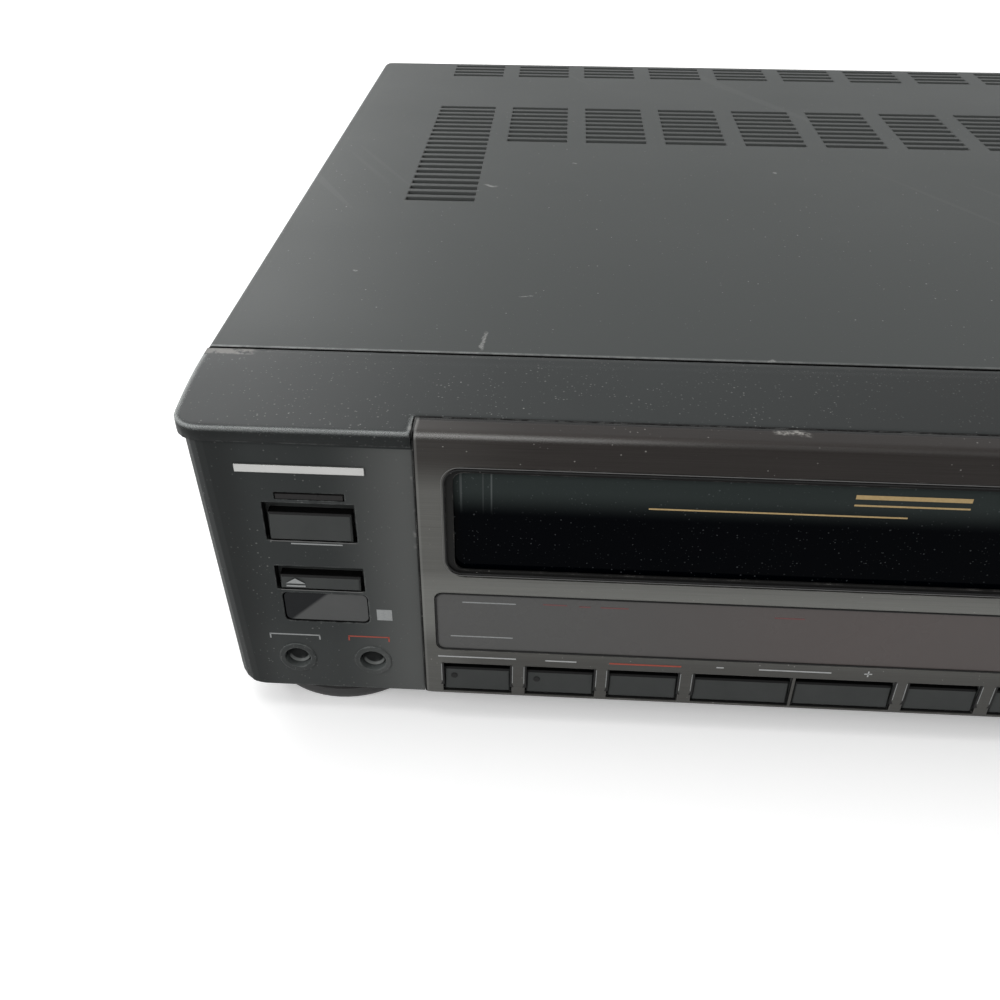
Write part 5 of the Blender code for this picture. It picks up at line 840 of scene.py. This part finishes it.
def shape_tree(name, **named):
    """An empty Geometry Nodes tree with named inputs and a material, and the terms they give."""
    tree = bpy.data.node_groups.new(name, "GeometryNodeTree")
    tree.interface.new_socket("points", in_out="INPUT", socket_type="NodeSocketGeometry")
    for key, value in named.items():
        socket = tree.interface.new_socket(key, in_out="INPUT", socket_type=SOCKETS[type(value)])
        socket.default_value = value
    tree.interface.new_socket("finish", in_out="INPUT", socket_type="NodeSocketMaterial")
    tree.interface.new_socket("Geometry", in_out="OUTPUT", socket_type="NodeSocketGeometry")
    graph = Graph(tree)
    entry = graph.add("NodeGroupInput")
    return graph, {key: entry.other(key) for key in ("points", *named, "finish")}


def close_tree(graph, shape, entry):
    """Ends a tree in real geometry with its material."""
    real = graph.add("GeometryNodeRealizeInstances", None, {0: shape})
    inputs = {0: real, "Material": entry["finish"]}
    graph.add("NodeGroupOutput", None, {0: graph.add("GeometryNodeSetMaterial", None, inputs)})


def sweep(graph, path, radius, sides):
    """Lays a round wire along a curve."""
    inputs = {"Radius": radius, "Resolution": sides}
    profile = graph.add("GeometryNodeCurvePrimitiveCircle", None, inputs)
    return graph.add("GeometryNodeCurveToMesh", None, {"Curve": path, "Profile Curve": profile})


def grow(name, graph, body, material, points=(), **values):
    """Runs a tree on a mesh of loose points and keeps what it makes as a plain piece."""
    scatter = bpy.data.meshes.new(name + "_seed")
    scatter.from_pydata(points, [], [])
    seed = put(name + "_seed", scatter)
    modifier = seed.modifiers.new("shape", "NODES")
    modifier.node_group = graph.tree
    values["finish"] = material
    for socket in graph.tree.interface.items_tree:
        if socket.in_out == "INPUT" and socket.name in values:
            modifier[socket.identifier] = values[socket.name]
    ready = seed.evaluated_get(bpy.context.evaluated_depsgraph_get())
    mesh = bpy.data.meshes.new_from_object(ready)
    bpy.data.objects.remove(seed)
    return keep(name, mesh, material, body)


# %% [markdown]
# The bead's tree draws the rectangle flat, so it is turned upright before the wire is laid along
# it. The modifier's own mesh isn't used here, but the screws further on need it for their places.

# %% The framing bead
bead_graph, entry = shape_tree(
    "framing_bead", width=0.1, height=0.02, corner=0.002, thickness=0.0002, middle=(0.0, 0.0, 0.0)
)
rectangle = bead_graph.add(
    "GeometryNodeCurvePrimitiveQuadrilateral",
    None,
    {"Width": entry["width"], "Height": entry["height"]},
)
path = bead_graph.add(
    "GeometryNodeFilletCurve",
    {"mode": "POLY"},
    {"Curve": rectangle, "Radius": entry["corner"], "Count": 8},
)
upright = bead_graph.add(
    "GeometryNodeTransform",
    None,
    {"Geometry": path, "Translation": entry["middle"], "Rotation": (math.radians(90), 0, 0)},
)
close_tree(bead_graph, sweep(bead_graph, upright, entry["thickness"], 8), entry)

# The name, the ink, and the sizes in millimetres.
for name, line_ink, (left, right, top, bottom), corner, thickness, depth in (
    # Painted shade in two grooves, and a painted highlight on the window's edge.
    ("window_groove_shade", shade_ink, (55.55, 200.85, 8.0, 34.5), 3.6, 0.22, 0.1),
    ("window_edge_highlight", highlight_line, (55.05, 201.35, 7.5, 35.0), 3.9, 0.1, 0.02),
    ("lens_groove_shade", shade_ink, (53.0, 203.0, 40.3, 56.5), 1.8, 0.17, 0.06),
):
    x, z = spot_at((left + right) / 2, (top + bottom) / 2)
    grow(
        name,
        bead_graph,
        "case",
        line_ink,
        width=(right - left) * MM,
        height=(bottom - top) * MM,
        corner=corner * MM,
        thickness=thickness * MM,
        middle=(x, plate_face + depth * MM, z),
    )

# %% [markdown]
# ## Signs of the keys on the right
# The keys on the right of the plate run the tape. Each wears the sign that every such machine
# uses: triangles for the two windings and for play, a square for stop, two bars for pause and a
# red disc for record. A sign rides with its key.

# %% Tape signs
def middle_of(node):
    low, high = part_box(node)
    return (low + high) / 2


def arrow(across, drop, size, way):
    tail = across - way * size / 2
    return [(tail, drop - size * 0.6), (across + way * size / 2, drop), (tail, drop + size * 0.6)]


def sign(key, material, shapes):
    middle = middle_of(key)
    across, drop = (middle.x - cad_box[0].x) / MM, (cad_box[1].z - middle.z) / MM
    moved = [[(across + x, drop + z) for x, z in shape] for shape in shapes]
    foil(key.replace("_button", "_sign"), key, material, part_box(key)[0].y, moved)


sign("play_button", grey_ink, [arrow(0, 0, 2.6, 1)])
sign("stop_button", grey_ink, [bar(-1.2, 1.2, -1.2, 1.2)])
sign("rewind_button", grey_ink, [arrow(-1.2, 0, 2.3, -1), arrow(1.2, 0, 2.3, -1)])
sign("fast_forward_button", grey_ink, [arrow(-1.2, 0, 2.3, 1), arrow(1.2, 0, 2.3, 1)])
sign("pause_button", grey_ink, [bar(-1.1, -0.3, 1.0, 3.4), bar(0.3, 1.1, 1.0, 3.4)])
sign("record_button", red_ink, [disc(0, 1.6, 1.1)])

# %% [markdown]
# ## Turned pieces
# Feet, dished keys and rings are round about an axis, as a lathe would make them. The CAD model
# has them with few sides, which shows at their outlines, so smooth ones stand in for the feet and
# the round keys. A profile is a list of radii and heights in millimetres.

# %% A lathe
def lathe(name, body, material, centres, axis, profile, sides=64, closed=False):
    """Turns a profile of (radius, height) about Z or Y through each centre, as one piece."""
    shape = bmesh.new()
    for centre in centres:
        rings = []
        for radius, height in profile:
            steps = 1 if radius == 0 else sides
            ring = []
            for step in range(steps):
                angle = math.tau * step / sides
                u, v = radius * math.cos(angle), radius * math.sin(angle)
                place = (u, v, height) if axis == "Z" else (u, height, v)
                ring.append(shape.verts.new(Vector(centre) + Vector(place) * MM))
            rings.append(ring)
        for first, second in zip(rings, rings[1:] + rings[:1] if closed else rings[1:]):
            for step in range(sides):
                after = (step + 1) % sides
                if len(first) == 1:
                    shape.faces.new((first[0], second[step], second[after]))
                elif len(second) == 1:
                    shape.faces.new((first[after], first[step], second[0]))
                else:
                    shape.faces.new((first[step], second[step], second[after], first[after]))
    mesh = mesh_of(shape, name)
    mesh.shade_smooth()
    mesh.set_sharp_from_angle(angle=math.radians(35))
    return keep(name, mesh, material, body)


# %% [markdown]
# A foot has a flat sole that is hollowed a little, and a fine groove round its wall.

# %% Feet
foot_profile = [
    (0, 9.3), (6, 9.3), (6, 7.5), (20.9, 7.5), (21.6, 7.25), (22, 6.6), (22, 5.2), (21.5, 4.9),
    (21.5, 4.5), (22, 4.2), (22, 2.6), (21.5, 1.3), (20.9, 0.4), (20.3, 0), (16.5, 0), (16, 0.6),
    (5.5, 0.6), (5.2, 2.2), (0, 2.2),
]
for node in [name for name in nodes if name.startswith("foot_")]:
    centre = (*middle_of(node).xy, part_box(node)[0].z)
    smooth_foot = lathe(node + "_turned", "case", foot_plastic, [centre], "Z", foot_profile)
    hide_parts(node)

# %% [markdown]
# The two small round keys are dished, so a finger finds them. The dish is painted dark as shade,
# and a painted highlight lies on its lower rim. One finish serves both: the place is folded over
# the line halfway between the keys, so that one distance finds both rims.

# %% Dished keys
round_plastic, graph, shader = finish("round_key_plastic", specular_ior_level=0.12)
x, _, z = graph.where()
round_keys = ("counter_reset_button", "quick_timer_button")
first, second = (middle_of(node) for node in round_keys)
across = (x - (first.x + second.x) / 2).size() - abs(second.x - first.x) / 2
drop = z - first.z
from_middle = (across**2 + drop**2) ** 0.5
worn = graph.noise(1.2 * MM, 3, 0.6)
# Painted highlight on the lower rim of each dish; the rest of the dish is painted dark as shade.
rim_highlight = graph.facing()[1].step(0.1, 0.4) * from_middle.step(2.0 * MM, 2.25 * MM)
colour = graph.blend(worn, (0.003, 0.004, 0.004), (0.007, 0.008, 0.008))
colour = graph.blend(rim_highlight * 0.8, colour, (0.20, 0.21, 0.205))
drive(shader, graph, base_color=colour, roughness=worn * 0.15 + 0.3)
dish_profile = [
    (0, 1.3), (0.9, 1.2), (1.7, 0.85), (2.25, 0.35), (2.5, 0.05), (2.6, 0), (2.7, 0.12), (2.7, 1.6),
    (4.0, 1.6), (4.0, 2.8), (1.5, 2.8), (1.5, 9.3), (0, 9.3),
]
for node in round_keys:
    middle = middle_of(node)
    centre = (middle.x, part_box(node)[0].y, middle.z)
    dished = lathe(node + "_dished", node, round_plastic, [centre], "Y", dish_profile, 40)
    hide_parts(node)

# %% [markdown]
# ## The back
# The sockets of a pair of leads are told apart by the colour of a ring: yellow for the picture,
# white and red for the sound. The aerial sockets carry a thread, here a row of fine rings.

# %% Coloured rings and threads
ring_profile = [(4.25, 0), (5.3, 0), (5.3, 0.7), (5.1, 0.9), (4.25, 0.9)]
rear_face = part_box("rear_panel")[1].y
low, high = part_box("av_jack_block")
ring_colours = (
    ("yellow", (0.50, 0.38, 0.03), (0.62, 0.48, 0.05)),
    ("white", (0.55, 0.55, 0.52), (0.70, 0.70, 0.67)),
    ("red", (0.38, 0.03, 0.03), (0.50, 0.05, 0.04)),
)
for column, (colour_name, first, second) in enumerate(ring_colours):
    across = low.x + (high.x - low.x) * (column + 0.5) / len(ring_colours)
    centres = [(across, rear_face, low.z + (high.z - low.z) * share) for share in (0.25, 0.75)]
    ring_ink = ink(colour_name + "_ring_plastic", first, second)
    lathe(colour_name + "_jack_rings", "case", ring_ink, centres, "Y", ring_profile, 40, True)

thread_graph, entry = shape_tree(
    "thread", turns=8, pitch=0.6 * MM, radius=4.6 * MM, wire=0.22 * MM, start=(0.0, 0.0, 0.0)
)
pitch = thread_graph.add("ShaderNodeCombineXYZ", None, {"Y": entry["pitch"]})
row = thread_graph.add(
    "GeometryNodeMeshLine",
    {"mode": "OFFSET"},
    {"Count": entry["turns"], "Start Location": entry["start"], "Offset": pitch},
)
ring = thread_graph.add(
    "GeometryNodeCurvePrimitiveCircle", None, {"Resolution": 32, "Radius": entry["radius"]}
)
hoop = sweep(thread_graph, ring, entry["wire"], 5)
hoops = thread_graph.add(
    "GeometryNodeInstanceOnPoints",
    None,
    {"Points": row, "Instance": hoop, "Rotation": (math.radians(90), 0, 0)},
)
close_tree(thread_graph, hoops, entry)
low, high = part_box("tuner_box")
for place, share in (("upper", 0.75), ("lower", 0.25)):
    start = ((low.x + high.x) / 2, high.y - 5.6 * MM, low.z + (high.z - low.z) * share)
    grow(place + "_aerial_thread", thread_graph, "case", zinc, start=start)

# %% [markdown]
# ## Screws
# Cross-headed screws hold the back and the bottom. They are one shape at many places: a disc with
# a cross cut out of it, set on points. The disc is cut once, before it is repeated.

# %% Screws on points
screw_graph, entry = shape_tree(
    "cross_screws", radius=2.8 * MM, height=1.2 * MM, slot=0.7 * MM, lean=(0.0, 0.0, 0.0)
)
radius, slot, height = entry["radius"], entry["slot"], entry["height"]
head = screw_graph.add(
    "GeometryNodeMeshCylinder", None, {"Vertices": 24, "Radius": radius, "Depth": height}
)
lift = screw_graph.add("ShaderNodeCombineXYZ", None, {"Z": height * 0.55})
for sizes in ((radius * 1.25, slot, height), (slot, radius * 1.25, height)):
    size = screw_graph.add("ShaderNodeCombineXYZ", None, dict(enumerate(sizes)))
    arm = screw_graph.add("GeometryNodeMeshCube", None, {"Size": size})
    arm = screw_graph.add("GeometryNodeTransform", None, {"Geometry": arm, "Translation": lift})
    head = screw_graph.add(
        "GeometryNodeMeshBoolean", {"operation": "DIFFERENCE"}, {"Mesh 1": head, "Mesh 2": arm}
    )
placed = screw_graph.add(
    "GeometryNodeInstanceOnPoints",
    None,
    {"Points": entry["points"], "Instance": head, "Rotation": entry["lean"]},
)
close_tree(screw_graph, placed, entry)
back_places = (
    (-170, 72), (-170, 17), (170, 72), (170, 17), (0, 73), (0, 16), (22, 43), (93, 43),
    (108, 41), (162, 41), (-156, 33), (-117, 33),
)
base_places = ((-60, -100), (60, -100), (-60, 95), (60, 95), (0, 0), (-140, 0), (140, 0))
back_y, base_z = rear_face + 0.5 * MM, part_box("chassis_base")[0].z - 0.4 * MM
for name, degrees, points in (
    ("back_screws", -90, [(x * MM, back_y, z * MM) for x, z in back_places]),
    ("base_screws", 180, [(x * MM, y * MM, base_z) for x, y in base_places]),
):
    lean = (math.radians(degrees), 0.0, 0.0)
    grow(name, screw_graph, "case", screw_metal, points, lean=lean)

# %% [markdown]
# ## Floor, world and lamps
# A plain pale floor and soft studio light keep the eye on the object. The world is white where the
# camera or a reflection looks at it, and a softer level lights the object. The floor is a large
# pale plane that takes the shadow and glows a little with distance, so that its far edge is lost in
# the white. It is clear from below, so the bottom can be looked at too.

# %% Stage
floor_mesh = bpy.data.meshes.new("floor")
reach = 4
corners = [(-reach, -reach, 0), (reach, -reach, 0), (reach, reach, 0), (-reach, reach, 0)]
floor_mesh.from_pydata(corners, [], [(0, 1, 2, 3)])
floor = put("floor", floor_mesh)


def seen_directly(graph):
    """1 where the camera, a reflection or a clear piece looks, 0 for the light on things."""
    rays = graph.add("ShaderNodeLightPath")
    return rays.larger(rays.other("Is Glossy Ray")).larger(rays.other("Is Transmission Ray"))


pale, graph, shader = finish(
    "pale_floor", specular_ior_level=0.0, roughness=0.9, emission_strength=1.0
)
x, y, _ = graph.where()
far = ((x**2 + y**2) ** 0.5).step(0.45, 1.4)
seen = seen_directly(graph)
ground = graph.blend(graph.noise(0.4, 2), grey(0.93), grey(0.96))
glow = graph.blend(seen, grey(0), graph.blend(far, grey(0.27), grey(0.75)))
drive(shader, graph, base_color=graph.blend(seen, grey(0.62), ground), emission_color=glow)
clear = graph.add("ShaderNodeBsdfTransparent")
below = graph.add("ShaderNodeNewGeometry", output="Backfacing")
sides = {0: below, 1: Term(graph, shader.outputs[0]), 2: clear}
one_sided = graph.add("ShaderNodeMixShader", None, sides)
graph.tree.links.new(one_sided.socket, graph.tree.nodes["Material Output"].inputs["Surface"])
floor_mesh.materials.append(pale)

world = bpy.data.worlds.new("studio")
bpy.context.scene.world = world
world.use_nodes = True
graph = Graph(world.node_tree)
backdrop = world.node_tree.nodes["Background"]
backdrop.inputs["Color"].default_value = (1, 1, 1, 1)
graph.tree.links.new((seen_directly(graph) * 0.55 + 0.45).socket, backdrop.inputs["Strength"])


def softbox(name, place, aim, size, power):
    data = bpy.data.lights.new(name, "AREA")
    data.shape = "RECTANGLE"
    data.size, data.size_y = size
    data.energy = power
    aimed = (Vector(aim) - Vector(place)).to_track_quat("-Z", "Y").to_matrix().to_4x4()
    put(name, data).matrix_world = Matrix.Translation(place) @ aimed


softbox("overhead", (-0.2, 0.1, 1.3), (0, 0, 0), (1.4, 1.0), 9)
softbox("front_left", (-0.9, -0.9, 0.8), (0, 0, 0.03), (0.7, 0.7), 7)
softbox("back_left", (-0.9, 1.3, 0.75), (-0.1, -0.1, 0.08), (0.9, 0.6), 8)

bpy.context.scene.view_settings.view_transform = "Standard"
print("world:", world.name, "and floor:", floor.name)
